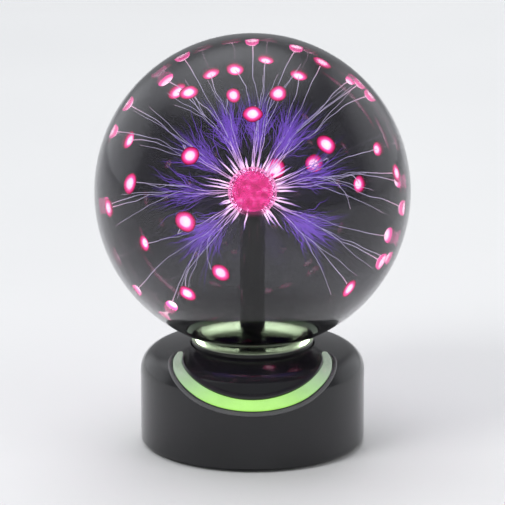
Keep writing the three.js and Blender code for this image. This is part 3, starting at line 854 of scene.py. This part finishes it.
def make_threads():
    """The main threads, from the electrode to their spots on the glass, and the spots themselves."""
    threads, spots = Gas("reach"), Gas("rim")
    trunks = [sideways(RIGHT * across + UP * up, 0) for (across, up), _ in TRUNKS]
    lift = Vector((0, 0, 0.08))
    for side, places in ((1, NEAR_SPOTS), (-1, FAR_SPOTS)):
        for across, up in places:
            end = toward(across, up, side)
            outward = sideways(end, 0)
            trunk = max(trunks, key=outward.dot)
            depth = side * chance.uniform(0.05, 0.3)
            start = sideways(outward * 0.7 + trunk, depth)
            bend = (sideways(outward * 0.4 + trunk, depth) + end * 0.5 + lift).normalized()
            ways = (start, bend, end)
            line = wandering(ways, GLOW_R, GAS_R - 0.5 * MM, 3.6 * MM, len(spots.points), THREAD_STEPS)
            reaches = steps_to_one(THREAD_STEPS)
            radii = [(0.14 + 0.04 * math.sin(9 * t) + 0.12 * t**8) * MM for t in reaches]
            threads.thread(line, radii, reaches, 6)
            limb = math.hypot(across, up)
            near_limb = limb > 0.93
            size = chance.uniform(4.2, 5.4) * (0.86 if near_limb else 1.0) * MM
            thickness, fade = (1.0 * MM, (0.0, 0.68)) if near_limb else (0.5 * MM, (0.0, 1.0))
            spots.spot(end, size, thickness, chance.uniform(0.74, 0.95), chance.uniform(0, 3), fade)
            if limb > 0.6:
                make_twigs(threads, line, end, chance.choice((0, 0, 1, 2)))
    piece("plasma_threads", threads.mesh("plasma_threads"), thread_light)
    piece("plasma_spots", spots.mesh("plasma_spots"), spot_light)


def make_twigs(threads, line, end, count):
    """Finer threads that part from a line half way and reach for the glass beside its spot."""
    for twig in range(count):
        fork = chance.randrange(14, 26)
        base = line[fork] - GLOBE_C
        scatter = noise.noise_vector(end * 23 + Vector((twig, 0, 0))) * 0.26
        reach = chance.uniform(0.86, 0.985) * GAS_R
        away = base.normalized()
        ways = (away, (away * 0.5 + end + scatter).normalized(), (end + scatter).normalized())
        twig_line = wandering(ways, base.length, reach, 1.2 * MM, len(threads.points), TWIG_STEPS)
        radii = [(0.09 + 0.05 * (1 - t)) * MM for t in steps_to_one(TWIG_STEPS)]
        start = fork / THREAD_STEPS
        threads.thread(twig_line, radii, [start + (0.92 - start) * t for t in steps_to_one(TWIG_STEPS)])


def make_streaks():
    """The violet fog round each bunch of threads: a mass of fine streaks that thins out all round."""
    streaks = Gas("reach")
    for number, ((across, up), density) in enumerate(TRUNKS):
        trunk = sideways(RIGHT * across + UP * up, 0)
        beside = trunk.cross(FRONT)
        for strand in range(round(150 * density)):
            spread = beside * chance.gauss(0, 0.13) + FRONT * chance.gauss(0, 0.34)
            start = (trunk + spread * 0.5).normalized()
            end = (trunk + spread * 1.35 + Vector((0, 0, 0.05))).normalized()
            first = GLOW_R + chance.uniform(0.08, 0.32) * (GAS_R - GLOW_R)
            last = GLOW_R + chance.uniform(0.34, 0.68) * (GAS_R - GLOW_R)
            seed = 300 + number * 90 + strand
            line = wandering((start, (start + end).normalized(), end), first, max(last, first + 9 * MM),
                             2.2 * MM, seed, 14)
            swell = chance.uniform(0.05, 0.14)
            radii = [(0.015 + swell * math.sin(math.pi * t) ** 1.3) * MM for t in steps_to_one(14)]
            streaks.thread(line, radii, steps_to_one(14), 4)
    piece("plasma_streaks", streaks.mesh("plasma_streaks"), streak_light)


# Rings of short rays round the bulb: how far each lies in front of the plane through its middle, as a share
# of the bulb's radius, and how many rays it has.
RAY_RINGS = [(0.30, 9), (0.0, 23), (-0.40, 13), (-0.75, 7)]

# Directions from the bulb's middle that point lower than this meet the stem.
STEM_DROP = -0.86


def make_rays():
    """Short bright rays round the bulb's sides and back, and a fine fuzz of light close to its surface."""
    rays = Gas("reach")
    for depth, count in RAY_RINGS:
        for i in range(count):
            turn = 2 * math.pi * (i + chance.uniform(-0.27, 0.27)) / count + depth
            flat = RIGHT * math.cos(turn) + UP * math.sin(turn)
            direction = (flat * math.sqrt(1 - depth * depth) + FRONT * depth).normalized()
            if direction.z < STEM_DROP:
                continue
            way = (direction + noise.noise_vector(direction * 17) * 0.10).normalized()
            reach = GLOW_R + chance.uniform(4.5, 8 + 7 * abs(math.cos(turn))) * MM
            line = wandering((direction, way, way), GLOW_R - 0.3 * MM, reach, 0.4 * MM, i + 90 * depth, 12)
            thick = chance.uniform(0.30, 0.50)
            radii = [(thick * math.sin(math.pi * (0.30 + 0.68 * t)) + 0.03) * MM for t in steps_to_one(12)]
            rays.thread(line, radii, steps_to_one(12), 6)
    add_fuzz(rays)
    piece("plasma_rays", rays.mesh("plasma_rays"), ray_light)


def add_fuzz(rays):
    """Short hairs of light in a belt round the bulb, spread evenly by the golden angle."""
    golden = math.pi * (3 - math.sqrt(5))
    count = 6000
    for i in range(count):
        height = 1 - 2 * (i + 0.5) / count
        around = math.sqrt(1 - height * height)
        direction = Vector((around * math.cos(golden * i), around * math.sin(golden * i), height))
        if direction.z < STEM_DROP or abs(direction.dot(FRONT) + 0.2) > 0.34:
            continue
        root = GLOBE_C + direction * (BULB_R + 0.04 * MM)
        tip = GLOBE_C + direction * (GLOW_R + chance.uniform(0.15, 0.35) * MM)
        rays.thread([root, tip], [0.11 * MM, 0.05 * MM], [0.0, 0.0], 4)


# ---------------------------------------------------------------- base housing
def housing_outline(inset, steps):
    """The outside from the top of the upright wall to the opening, moved inwards by inset."""
    centre = (BASE_R - SHOULDER_R, SHOULDER_Z)
    shoulder = arc(centre, SHOULDER_R - inset, 0, SHOULDER_TURN, steps)
    end_r, end_z = shoulder[-1]
    rise = (end_r - OPENING_R) / math.tan(SHOULDER_TURN)
    return shoulder + [(OPENING_R, end_z + rise)]


def housing_core(name, inset=0.0):
    """The space inside the housing's outside, as a closed shape without the opening."""
    outline = housing_outline(inset, 24)
    return lathe(name, [(0, -5 * MM), (BASE_R - inset, -5 * MM), *outline, (0, outline[-1][1])], 192)


def off_housing(point):
    """How far a point is outside the housing's outer surface, and that surface's direction there."""
    radius = math.hypot(point.x, point.y)
    out = Vector((point.x / radius, point.y / radius, 0))
    centre_r = BASE_R - SHOULDER_R
    if point.z <= SHOULDER_Z:
        return radius - BASE_R, out
    turn = math.atan2(point.z - SHOULDER_Z, radius - centre_r)
    if turn <= SHOULDER_TURN:
        normal = out * math.cos(turn) + Vector((0, 0, math.sin(turn)))
        return math.hypot(radius - centre_r, point.z - SHOULDER_Z) - SHOULDER_R, normal
    normal = out * math.cos(SHOULDER_TURN) + Vector((0, 0, math.sin(SHOULDER_TURN)))
    flat = (radius - centre_r) * math.cos(SHOULDER_TURN) + (point.z - SHOULDER_Z) * math.sin(SHOULDER_TURN)
    return flat - SHOULDER_R, normal


# The light window's outline, on a plane that leans back 45 degrees and faces the front shoulder.
WINDOW_LEAN = math.radians(45)
WINDOW_UP = Vector((0, math.cos(WINDOW_LEAN), math.sin(WINDOW_LEAN)))
WINDOW_OUT = Vector((0, -math.sin(WINDOW_LEAN), math.cos(WINDOW_LEAN)))
WINDOW_LOWER = (14 * MM, 37.6 * MM, 30 * MM)
WINDOW_UPPER = (17 * MM, 33.6 * MM, 29.4 * MM)
WINDOW_END = 23 * MM


def from_window(u, v, depth):
    return Vector((u, 0, 0)) + WINDOW_UP * v + WINDOW_OUT * depth


def window_edge(ellipse, margin, steps=80):
    """One edge of the window from its right end to its left, moved outwards by margin."""
    centre, half_width, half_height = ellipse
    a, b = half_width + margin, half_height + margin
    start = math.asin((WINDOW_END - centre) / b)
    turns = [start - (math.pi + 2 * start) * i / steps for i in range(steps + 1)]
    return [Vector((a * math.cos(t), centre + b * math.sin(t))) for t in turns]


def half_circle(first, last, steps=14):
    """Points of a half circle from one point round to another, without those two."""
    centre = (first + last) / 2
    spoke = first - centre
    made = []
    for i in range(1, steps):
        turn = -math.pi * i / steps
        x = spoke.x * math.cos(turn) - spoke.y * math.sin(turn)
        y = spoke.x * math.sin(turn) + spoke.y * math.cos(turn)
        made.append(centre + Vector((x, y)))
    return made


def window_outline(margin):
    lower = window_edge(WINDOW_LOWER, margin)
    upper = window_edge(WINDOW_UPPER, -margin)[::-1]
    return lower + half_circle(lower[-1], upper[0]) + upper + half_circle(upper[-1], lower[0])


def on_housing(u, v):
    """The point of the housing's outer surface behind a point of the window plane, and its direction."""
    near, far = 40 * MM, 90 * MM
    for _ in range(40):
        middle = (near + far) / 2
        outside, _ = off_housing(from_window(u, v, middle))
        near, far = (near, middle) if outside > 0 else (middle, far)
    place = from_window(u, v, near)
    return place, off_housing(place)[1]


def shell_normals(mesh):
    """Gives every corner on the turned outer surface the surface's own direction, and blends the rest."""
    mesh = tidied(mesh, 30)
    mesh.calc_loop_triangles()
    current = [Vector(corner.vector) for corner in mesh.corner_normals]
    normals = []
    for polygon in mesh.polygons:
        for corner in polygon.loop_indices:
            point = mesh.vertices[mesh.loops[corner].vertex_index].co
            normal = current[corner]
            if math.hypot(point.x, point.y) > OPENING_R + 0.8 * MM and point.z > BASE_Z + 1.3 * MM:
                away, surface = off_housing(point)
                if abs(away) < 0.02 * MM and surface.dot(polygon.normal) > 0.9:
                    normal = surface
            normals.append(normal)
    mesh.normals_split_custom_set(normals)
    return mesh


# The recess in the rear and the block that gives it walls, each from corner to corner across and up.
RECESS_LOW = (-24 * MM, 10.6 * MM)
RECESS_HIGH = (24 * MM, 31 * MM)
WALLS_LOW = (-26 * MM, 8.6 * MM)
WALLS_HIGH = (26 * MM, 33 * MM)


def housing_mesh():
    inner = housing_outline(BASE_WALL, 16)[::-1]
    foot = [(BASE_R - BASE_WALL, BASE_Z), (BASE_R, BASE_Z)]
    rim = housing_outline(0, 24)
    outline = [*rounded([*foot, rim[0]], 1.1 * MM, 6)[:-1], *rim[:-1]]
    lip = 0.7 * MM
    slope = Vector(rim[-2]) - Vector(rim[-1])
    edge = Vector(rim[-1])
    start = edge + slope.normalized() * lip
    end = edge - Vector((0, lip))
    curve = [on_curve(start, edge, end, t) for t in (0, 0.25, 0.5, 0.75, 1)]
    outline += [tuple(p) for p in curve] + inner
    shell = lathe("housing", outline, 224)

    walls = prism("walls", box_outline(WALLS_LOW, WALLS_HIGH, 1 * MM), across_y, PANEL_INSIDE, BASE_R)
    shell = combined(shell, combined(walls, housing_core("kept", 0.4 * MM), "INTERSECT"), "UNION")
    recess = prism("recess", box_outline(RECESS_LOW, RECESS_HIGH, 2 * MM), across_y, PANEL_Y, BASE_R + 5 * MM)
    half, rise = 3.9 * MM, 1.6 * MM
    slot = box_outline((SWITCH.x - half, SWITCH.z - rise), (SWITCH.x + half, SWITCH.z + rise), 0.5 * MM)
    sound = circle((MICROPHONE.x, MICROPHONE.z), 1.2 * MM, 32)
    inlet = circle((JACK.x, JACK.z), 4.6 * MM, 64)
    cutters = [prism("cutter", hole, across_y, 40 * MM, 50 * MM) for hole in (slot, sound, inlet)]
    window = prism("window", window_outline(0.25 * MM), from_window, 38 * MM, 72 * MM)
    return shell_normals(cut(shell, recess, *cutters, window))


def light_guide_mesh():
    """The green window: a domed band that fills the slot in the shoulder and stands a little proud of it."""
    across = 14
    rise = 0.55 * MM
    depth = 2.9 * MM
    lower = window_edge(WINDOW_LOWER, 0, 150)
    upper = window_edge(WINDOW_UPPER, 0, 150)
    rows = [(low, high, 1.0) for low, high in zip(lower, upper)]
    for end, order in ((rows[0], -1), (rows[-1], 1)):
        low, high, _ = end
        middle, half = (low + high) / 2, (high - low) / 2
        caps = []
        for i in range(1, 13):
            turn = math.pi / 2 * i / 12
            full = math.cos(turn)
            lift = Vector((0, half.length * math.sin(turn)))
            caps.append((middle - half * full + lift, middle + half * full + lift, full))
        rows = rows + caps if order > 0 else caps[::-1] + rows
    points = []
    for low, high, full in rows:
        for j in range(across + 1):
            share = 2 * j / across - 1
            spot = low.lerp(high, (1 + math.sin(share * math.pi / 2)) / 2)
            place, normal = on_housing(spot.x, spot.y)
            dome = rise * (1 - abs(share) ** 3.5) * full**0.6 - 0.15 * MM
            points.append(place + normal * dome)
    sheet = len(points)
    points += [point - WINDOW_OUT * depth for point in points]
    width = across + 1
    faces = []
    for i in range(len(rows) - 1):
        for j in range(across):
            here = i * width + j
            faces.append((here, here + 1, here + width + 1, here + width))
            back = here + sheet
            faces.append((back, back + width, back + width + 1, back + 1))
    for i in range(len(rows) - 1):
        for j in (0, across):
            here = i * width + j
            faces.append((here, here + width, here + width + sheet, here + sheet))
    return mesh_of("light_guide", points, faces, 50)


def window_lip(name, ellipse, margin, recipe):
    """A raised lip along one edge of the window, from one end to the other."""
    places = [on_housing(u, v) for u, v in window_edge(ellipse, margin, 120)]
    loop = [place for place, _ in places]
    normals = [normal for _, normal in places]
    mesh = bead(name, loop, normals, 1.05 * MM, 0.75 * MM, closed=False)
    piece(name, mesh, recipe, ())


def recess_bead_mesh():
    """A fine raised rim round the rear recess, following the drum."""
    outline = box_outline(RECESS_LOW, RECESS_HIGH, 2 * MM, 8)
    dense = []
    for i, (u, v) in enumerate(outline):
        next_u, next_v = outline[(i + 1) % len(outline)]
        steps = max(1, int(math.hypot(next_u - u, next_v - v) / (0.8 * MM)))
        dense += [(u + (next_u - u) * s / steps, v + (next_v - v) * s / steps) for s in range(steps)]
    loop = [Vector((u, math.sqrt(BASE_R**2 - u**2), v)) for u, v in dense]
    normals = [Vector((p.x, p.y, 0)).normalized() for p in loop]
    return bead("recess_bead", loop, normals, 0.55 * MM, 0.3 * MM)


def collar_mesh():
    low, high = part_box("collar_ring")
    inner, outer, mouth = 26.2 * MM, OPENING_R - 0.4 * MM, 27.2 * MM
    flange, flange_low, flange_high = high.x, 44.3 * MM, 46 * MM
    outline = [
        (inner, low.z), (outer, low.z), (outer, flange_low), (flange, flange_low), (flange, flange_high),
        (outer, flange_high), (outer, high.z), (mouth, high.z), (inner, high.z - 1.2 * MM),
    ]
    return lathe("collar", rounded(outline, 0.45 * MM), 160)


def socket_mesh():
    low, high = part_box("globe_socket")
    cup, wall, rim, ledge = 24.6 * MM, 27.5 * MM, high.x, 17 * MM
    rim_low, cup_floor = 38.6 * MM, 37 * MM
    outline = [
        (ledge, low.z), (wall, low.z), (wall, rim_low), (rim, rim_low), (rim, high.z),
        (cup, high.z), (cup, cup_floor), (ledge, cup_floor),
    ]
    mesh = lathe("socket", rounded(outline, 0.4 * MM), 112)
    holes = []
    for number in (1, 2, 3):
        screw = middle_of(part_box(f"socket_screw_{number}"))
        holes.append(peg(screw, SCREW_HOLE_R, 30 * MM, 45 * MM))
    return tidied(cut(mesh, *holes))


def ring_mesh(name, node, inner, corner):
    low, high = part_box(node)
    outline = rectangle((inner, low.z), (high.x, high.z))
    return lathe(name, rounded(outline, corner), 112)


def make_housing():
    piece("housing", housing_mesh(), gloss_black, ["base_shell"])
    piece("light_guide", light_guide_mesh(), light_green, ["light_crescent"])
    # The lower lip's paler satin grey is a painted highlight along the window's lower edge.
    window_lip("window_lip_lower", WINDOW_LOWER, 1.35 * MM, satin_grey_and_painted_highlight)
    window_lip("window_lip_upper", WINDOW_UPPER, -1.2 * MM, gloss_black)
    piece("recess_bead", recess_bead_mesh(), gloss_black, ())
    piece("collar", collar_mesh(), pale_liner, ["collar_ring"])
    piece("socket", socket_mesh(), matt_black, ["globe_socket"])
    gasket = ring_mesh("gasket", "neck_gasket", 24.3 * MM, 0.4 * MM)
    piece("gasket", gasket, silicone, ["neck_gasket"])
    pad = ring_mesh("pad", "neck_pad", 18 * MM, 0.3 * MM)
    piece("pad", pad, black_rubber, ["neck_pad"])


# ---------------------------------------------------------------- underside
def bottom_mesh():
    low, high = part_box("bottom_plate")
    top = low.z + 2.4 * MM
    edge = rounded([(high.x, low.z), (high.x, top), (0, top)], 0.5 * MM)[:-1]
    plate = lathe("bottom", [(0, low.z), *edge, (0, top)], 160)
    cutters = []
    for number in (1, 2, 3, 4):
        screw = middle_of(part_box(f"base_screw_{number}"))
        plate = combined(plate, peg(screw, 5 * MM, low.z + 1 * MM, 7 * MM, 40), "UNION")
        cutters.append(peg(screw, 3.2 * MM, 0, 5 * MM, 40))
        cutters.append(peg(screw, SCREW_HOLE_R, 0, 9 * MM))
        foot = middle_of(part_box(f"foot_{number}"))
        cutters.append(peg(foot, 6.4 * MM, 0, low.z + 1.4 * MM, 56))
    for number in (1, 2, 3, 4):
        screw = middle_of(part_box(f"board_screw_{number}"))
        plate = combined(plate, peg(screw, 2.8 * MM, top - 1 * MM, high.z, 32), "UNION")
        cutters.append(peg(screw, 1.3 * MM, 6 * MM, 20 * MM, 20))
    for vent in range(5):
        y = (vent * 6 - 6) * MM
        slot = box_outline((-13 * MM, y), (13 * MM, y + 2.4 * MM), 1.15 * MM)
        cutters.append(prism("vent", slot, upright, 0, 6 * MM))
    return tidied(cut(plate, *cutters))


def foot_mesh():
    low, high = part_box("foot_1")
    radius = (high.x - low.x) / 2
    outline = [(0, 0), (radius - 0.9 * MM, 0), (radius, 0.8 * MM), (radius, high.z), (0, high.z)]
    return lathe("rubber_foot", [(0, 0), *rounded(outline, 0.7 * MM)[5:-5], (0, high.z)], 56)


def screw_mesh(head_low, shank_top, head_radius, shank_radius, head_height):
    """A screw pointing up with a domed head and a cross recess, standing at the origin's axis."""
    seat = head_low + head_height
    dome = [(head_radius * math.sin(t), seat - head_height * (0.35 + 0.65 * math.cos(t)))
            for t in [math.pi / 2 * i / 8 for i in range(9)]]
    outline = [*dome, (head_radius, seat), (shank_radius, seat), (shank_radius, shank_top), (0, shank_top)]
    mesh = lathe("screw", outline, 40, 40)
    length, width, depth = head_radius * 0.62, head_radius * 0.13, head_height * 0.7
    for first, second in ((length, width), (width, length)):
        bar = rectangle((-first, -second), (first, second))
        mesh = cut(mesh, prism("recess", bar, upright, head_low - 1 * MM, head_low + depth))
    return tidied(mesh)


def copies(mesh, name, node, count, recipe):
    """The same mesh, made round the origin's axis, at each of a CAD node's numbered places."""
    for number in range(1, count + 1):
        copy = mesh.copy()
        copy.transform(translation(middle_of(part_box(f"{node}_{number}"))))
        piece(f"{name}_{number}", copy, recipe, [f"{node}_{number}"])


def make_underside():
    piece("bottom", bottom_mesh(), matt_black, ["bottom_plate"])
    copies(foot_mesh(), "rubber_foot", "foot", 4, black_rubber)
    low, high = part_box("base_screw_1")
    screw = screw_mesh(low.z, high.z, 2.7 * MM, 1.4 * MM, 1.8 * MM)
    copies(screw, "bottom_screw", "base_screw", 4, bright_steel)


# ---------------------------------------------------------------- rear panel
def softened(mesh, width, segments=3):
    """The mesh with every clear edge rounded off."""
    shape = bmesh.new()
    shape.from_mesh(mesh)
    bmesh.ops.remove_doubles(shape, verts=shape.verts, dist=1e-7)
    edges = [e for e in shape.edges if len(e.link_faces) == 2 and e.calc_face_angle() > math.radians(30)]
    bmesh.ops.bevel(shape, geom=edges, offset=width, segments=segments, affect="EDGES", profile=0.5)
    shape.to_mesh(mesh)
    shape.free()
    return tidied(mesh)


def block(low, high):
    """A box between two corners, as a closed mesh."""
    return prism("block", rectangle(low, high), upright, low[2], high[2])


def knob_mesh():
    x, z = SWITCH.x, SWITCH.z
    cap = PANEL_Y + 0.4 * MM
    stem = block((x - 1.5 * MM, KNOB_LOW.y, z - 1.2 * MM), (x + 1.5 * MM, cap + 1 * MM, z + 1.2 * MM))
    head = block((KNOB_LOW.x, cap, KNOB_LOW.z), (KNOB_HIGH.x, cap + 3 * MM, KNOB_HIGH.z))
    knob = combined(stem, softened(head, 0.35 * MM), "UNION")
    for offset in (-1.4 * MM, 0, 1.4 * MM):
        low = (x + offset - 0.3 * MM, cap + 2 * MM, KNOB_LOW.z + 0.3 * MM)
        high = (x + offset + 0.3 * MM, KNOB_HIGH.y, KNOB_HIGH.z - 0.3 * MM)
        knob = combined(knob, softened(block(low, high), 0.2 * MM), "UNION")
    return tidied(knob)


def jack_mesh():
    inside = PANEL_INSIDE - 0.6 * MM
    body = softened(block((JACK_LOW.x, JACK_LOW.y, JACK_LOW.z), (JACK_HIGH.x, inside, JACK_HIGH.z)), 0.3 * MM)
    nose = prism("nose", circle((JACK.x, JACK.z), 4.2 * MM, 64), across_y, inside - 1 * MM, JACK_HIGH.y)
    socket = prism("socket", circle((JACK.x, JACK.z), 3.1 * MM, 64), across_y, 38 * MM, JACK_HIGH.y + 2 * MM)
    return tidied(cut(combined(body, softened(nose, 0.25 * MM), "UNION"), socket))


def pin_mesh():
    radius = 1 * MM
    length = PIN_HIGH.y - PIN_LOW.y
    tip = [(radius, length - 0.8 * MM), (radius * 0.8, length - 0.25 * MM), (0, length)]
    outline = [(0, 0), (radius, 0), *tip]
    mesh = lathe("inlet_pin", outline, 32)
    for vertex in mesh.vertices:
        u, v, depth = vertex.co
        vertex.co = (JACK.x + u, PIN_LOW.y + depth, JACK.z + v)
    return tidied(mesh)


def mark(name, line, closed):
    """A printed line on the rear panel, a little over a hair's breadth thick."""
    loop = [Vector((u, PANEL_Y, v)) for u, v in line]
    return bead(name, loop, [Vector((0, 1, 0))] * len(loop), 0.2 * MM, 0.06 * MM, closed)


def white_print():
    return textured("white_print", (0.62, 0.62, 0.60), 0.5, 0.0006, 0.1).material


def make_rear():
    piece("knob", knob_mesh(), satin_grey_and_painted_highlight, ["switch_knob"], "switch")
    piece("inlet", jack_mesh(), matt_black, ["dc_jack"])
    piece("inlet_pin", pin_mesh(), bright_steel, ["dc_jack_pin"])
    height = SWITCH.z + 7 * MM
    offset = 4.6 * MM
    size = 1.1 * MM
    ring = circle((SWITCH.x + offset, height), size, 32)
    piece("mark_off", mark("mark_off", ring, True), white_print)
    bar = [(SWITCH.x, height - size), (SWITCH.x, height), (SWITCH.x, height + size)]
    piece("mark_on", mark("mark_on", bar, False), white_print)
    for number in (1, 2, 3):
        centre = (SWITCH.x - offset + 1 * MM, height)
        wave = arc(centre, number * 0.7 * MM, math.radians(135), math.radians(225), 10)
        piece(f"mark_sound_{number}", mark(f"mark_sound_{number}", wave, False), white_print)
    for number, place in enumerate((-1, 0, 1)):
        foot = (SWITCH.x + place * 2 * MM, SWITCH.z + 3 * MM)
        head = (SWITCH.x + place * (offset - 1 * MM if place else 0), height - 2 * MM)
        knee = (foot[0], foot[1] + 0.9 * MM)
        piece(f"mark_lead_{number}", mark(f"mark_lead_{number}", [foot, knee, head], False), white_print)


# ---------------------------------------------------------------- what stays as CAD
RECIPES = {
    recipe.__name__: recipe
    for recipe in (
        gloss_black, matt_black, light_green, pale_liner, silicone, black_rubber, pink_core, bright_steel,
        brass, copper, aluminium, ferrite, circuit_board, capacitor_sleeve, red_wire, white_wire, led_lens,
    )
}
RECIPES["globe_glass"] = bulb_glass


def paint_cad():
    """Gives every CAD node the procedural material of its slot in the record."""
    for entry in frame["record"]["subparts"]:
        node = frame["nodes"][entry["node"]]
        node.data.materials.clear()
        node.data.materials.append(material(RECIPES[entry["material_slot"]]))


# ---------------------------------------------------------------- studio
def make_floor():
    mesh = bpy.data.meshes.new("floor")
    size = 4
    corners = [(x, y, 0) for x, y in rectangle((-size, -size), (size, size))]
    mesh.from_pydata(corners, [], [(0, 1, 2, 3)])
    floor = bpy.data.objects.new("floor", mesh)
    bpy.context.scene.collection.objects.link(floor)
    paint = Paint("floor", (0.80, 0.80, 0.80), 0.6)
    tone = paint.ramp(paint.noise(0.4, 2), (0.3, (0.78, 0.78, 0.785)), (0.7, (0.82, 0.82, 0.82)))
    paint.drive("Base Color", tone)
    mesh.materials.append(paint.material)


def soft_light(name, place, size, power):
    """A large soft box that faces the globe. It lights things but isn't mirrored in them."""
    data = bpy.data.lights.new(name, "AREA")
    data.shape = "DISK"
    data.size = size
    data.energy = power
    light = bpy.data.objects.new(name, data)
    bpy.context.scene.collection.objects.link(light)
    light.location = place
    light.rotation_mode = "QUATERNION"
    light.rotation_quaternion = (GLOBE_C - Vector(place)).to_track_quat("-Z", "Y")
    light.visible_glossy = False
    light.visible_transmission = False


def make_world():
    """A pale surround with a broad soft glow overhead and one at each side, for glossy things to mirror."""
    world = bpy.data.worlds.new("studio")
    world.use_nodes = True
    tree = world.node_tree
    background = tree.nodes["Background"]
    background.inputs["Color"].default_value = (0.95, 0.97, 1.0, 1)
    direction = tree.nodes.new("ShaderNodeTexCoord").outputs["Generated"]
    even_light = 0.36
    glows = [
        ((-0.15, 0.35, 0.93), 0.72, 0.97, 1.3),
        ((-0.8, 0.6, 0.15), 0.8, 0.97, 0.7),
        ((0.8, 0.6, 0.15), 0.8, 0.97, 0.6),
    ]
    total = None
    for way, outer, inner, level in glows:
        dot = tree.nodes.new("ShaderNodeVectorMath")
        dot.operation = "DOT_PRODUCT"
        dot.inputs[1].default_value = Vector(way).normalized()
        tree.links.new(direction, dot.inputs[0])
        fade = tree.nodes.new("ShaderNodeMapRange")
        fade.interpolation_type = "SMOOTHSTEP"
        for socket, value in zip(("From Min", "From Max", "To Min", "To Max"), (outer, inner, 0, level)):
            fade.inputs[socket].default_value = value
        tree.links.new(dot.outputs["Value"], fade.inputs["Value"])
        add = tree.nodes.new("ShaderNodeMath")
        add.inputs[1].default_value = even_light
        if total is not None:
            tree.links.new(total, add.inputs[1])
        tree.links.new(fade.outputs["Result"], add.inputs[0])
        total = add.outputs["Value"]
    tree.links.new(total, background.inputs["Strength"])
    bpy.context.scene.world = world


def make_studio():
    make_floor()
    make_world()
    soft_light("key", (-0.9, -0.9, 1.3), 0.7, 12)
    soft_light("fill", (1.1, -0.6, 0.8), 0.9, 4)
    soft_light("back", (0.3, 1.2, 1.2), 0.9, 5)
    bpy.context.scene.view_settings.view_transform = "Standard"
    bpy.context.scene.cycles.denoising_input_passes = "RGB"


def make_camera():
    data = bpy.data.cameras.new("camera")
    data.lens = 300
    data.clip_start = 0.01
    camera = bpy.data.objects.new("camera", data)
    bpy.context.scene.collection.objects.link(camera)
    distance = 2.0
    target = Vector((0, 0, 0.47 * GLOBE_HIGH.z))
    camera.location = target + FRONT * distance
    camera.rotation_mode = "QUATERNION"
    camera.rotation_quaternion = (-FRONT).to_track_quat("-Z", "Y")
    bpy.context.scene.camera = camera


paint_cad()
make_globe()
make_threads()
make_streaks()
make_rays()
make_housing()
make_underside()
make_rear()
make_studio()
make_camera()
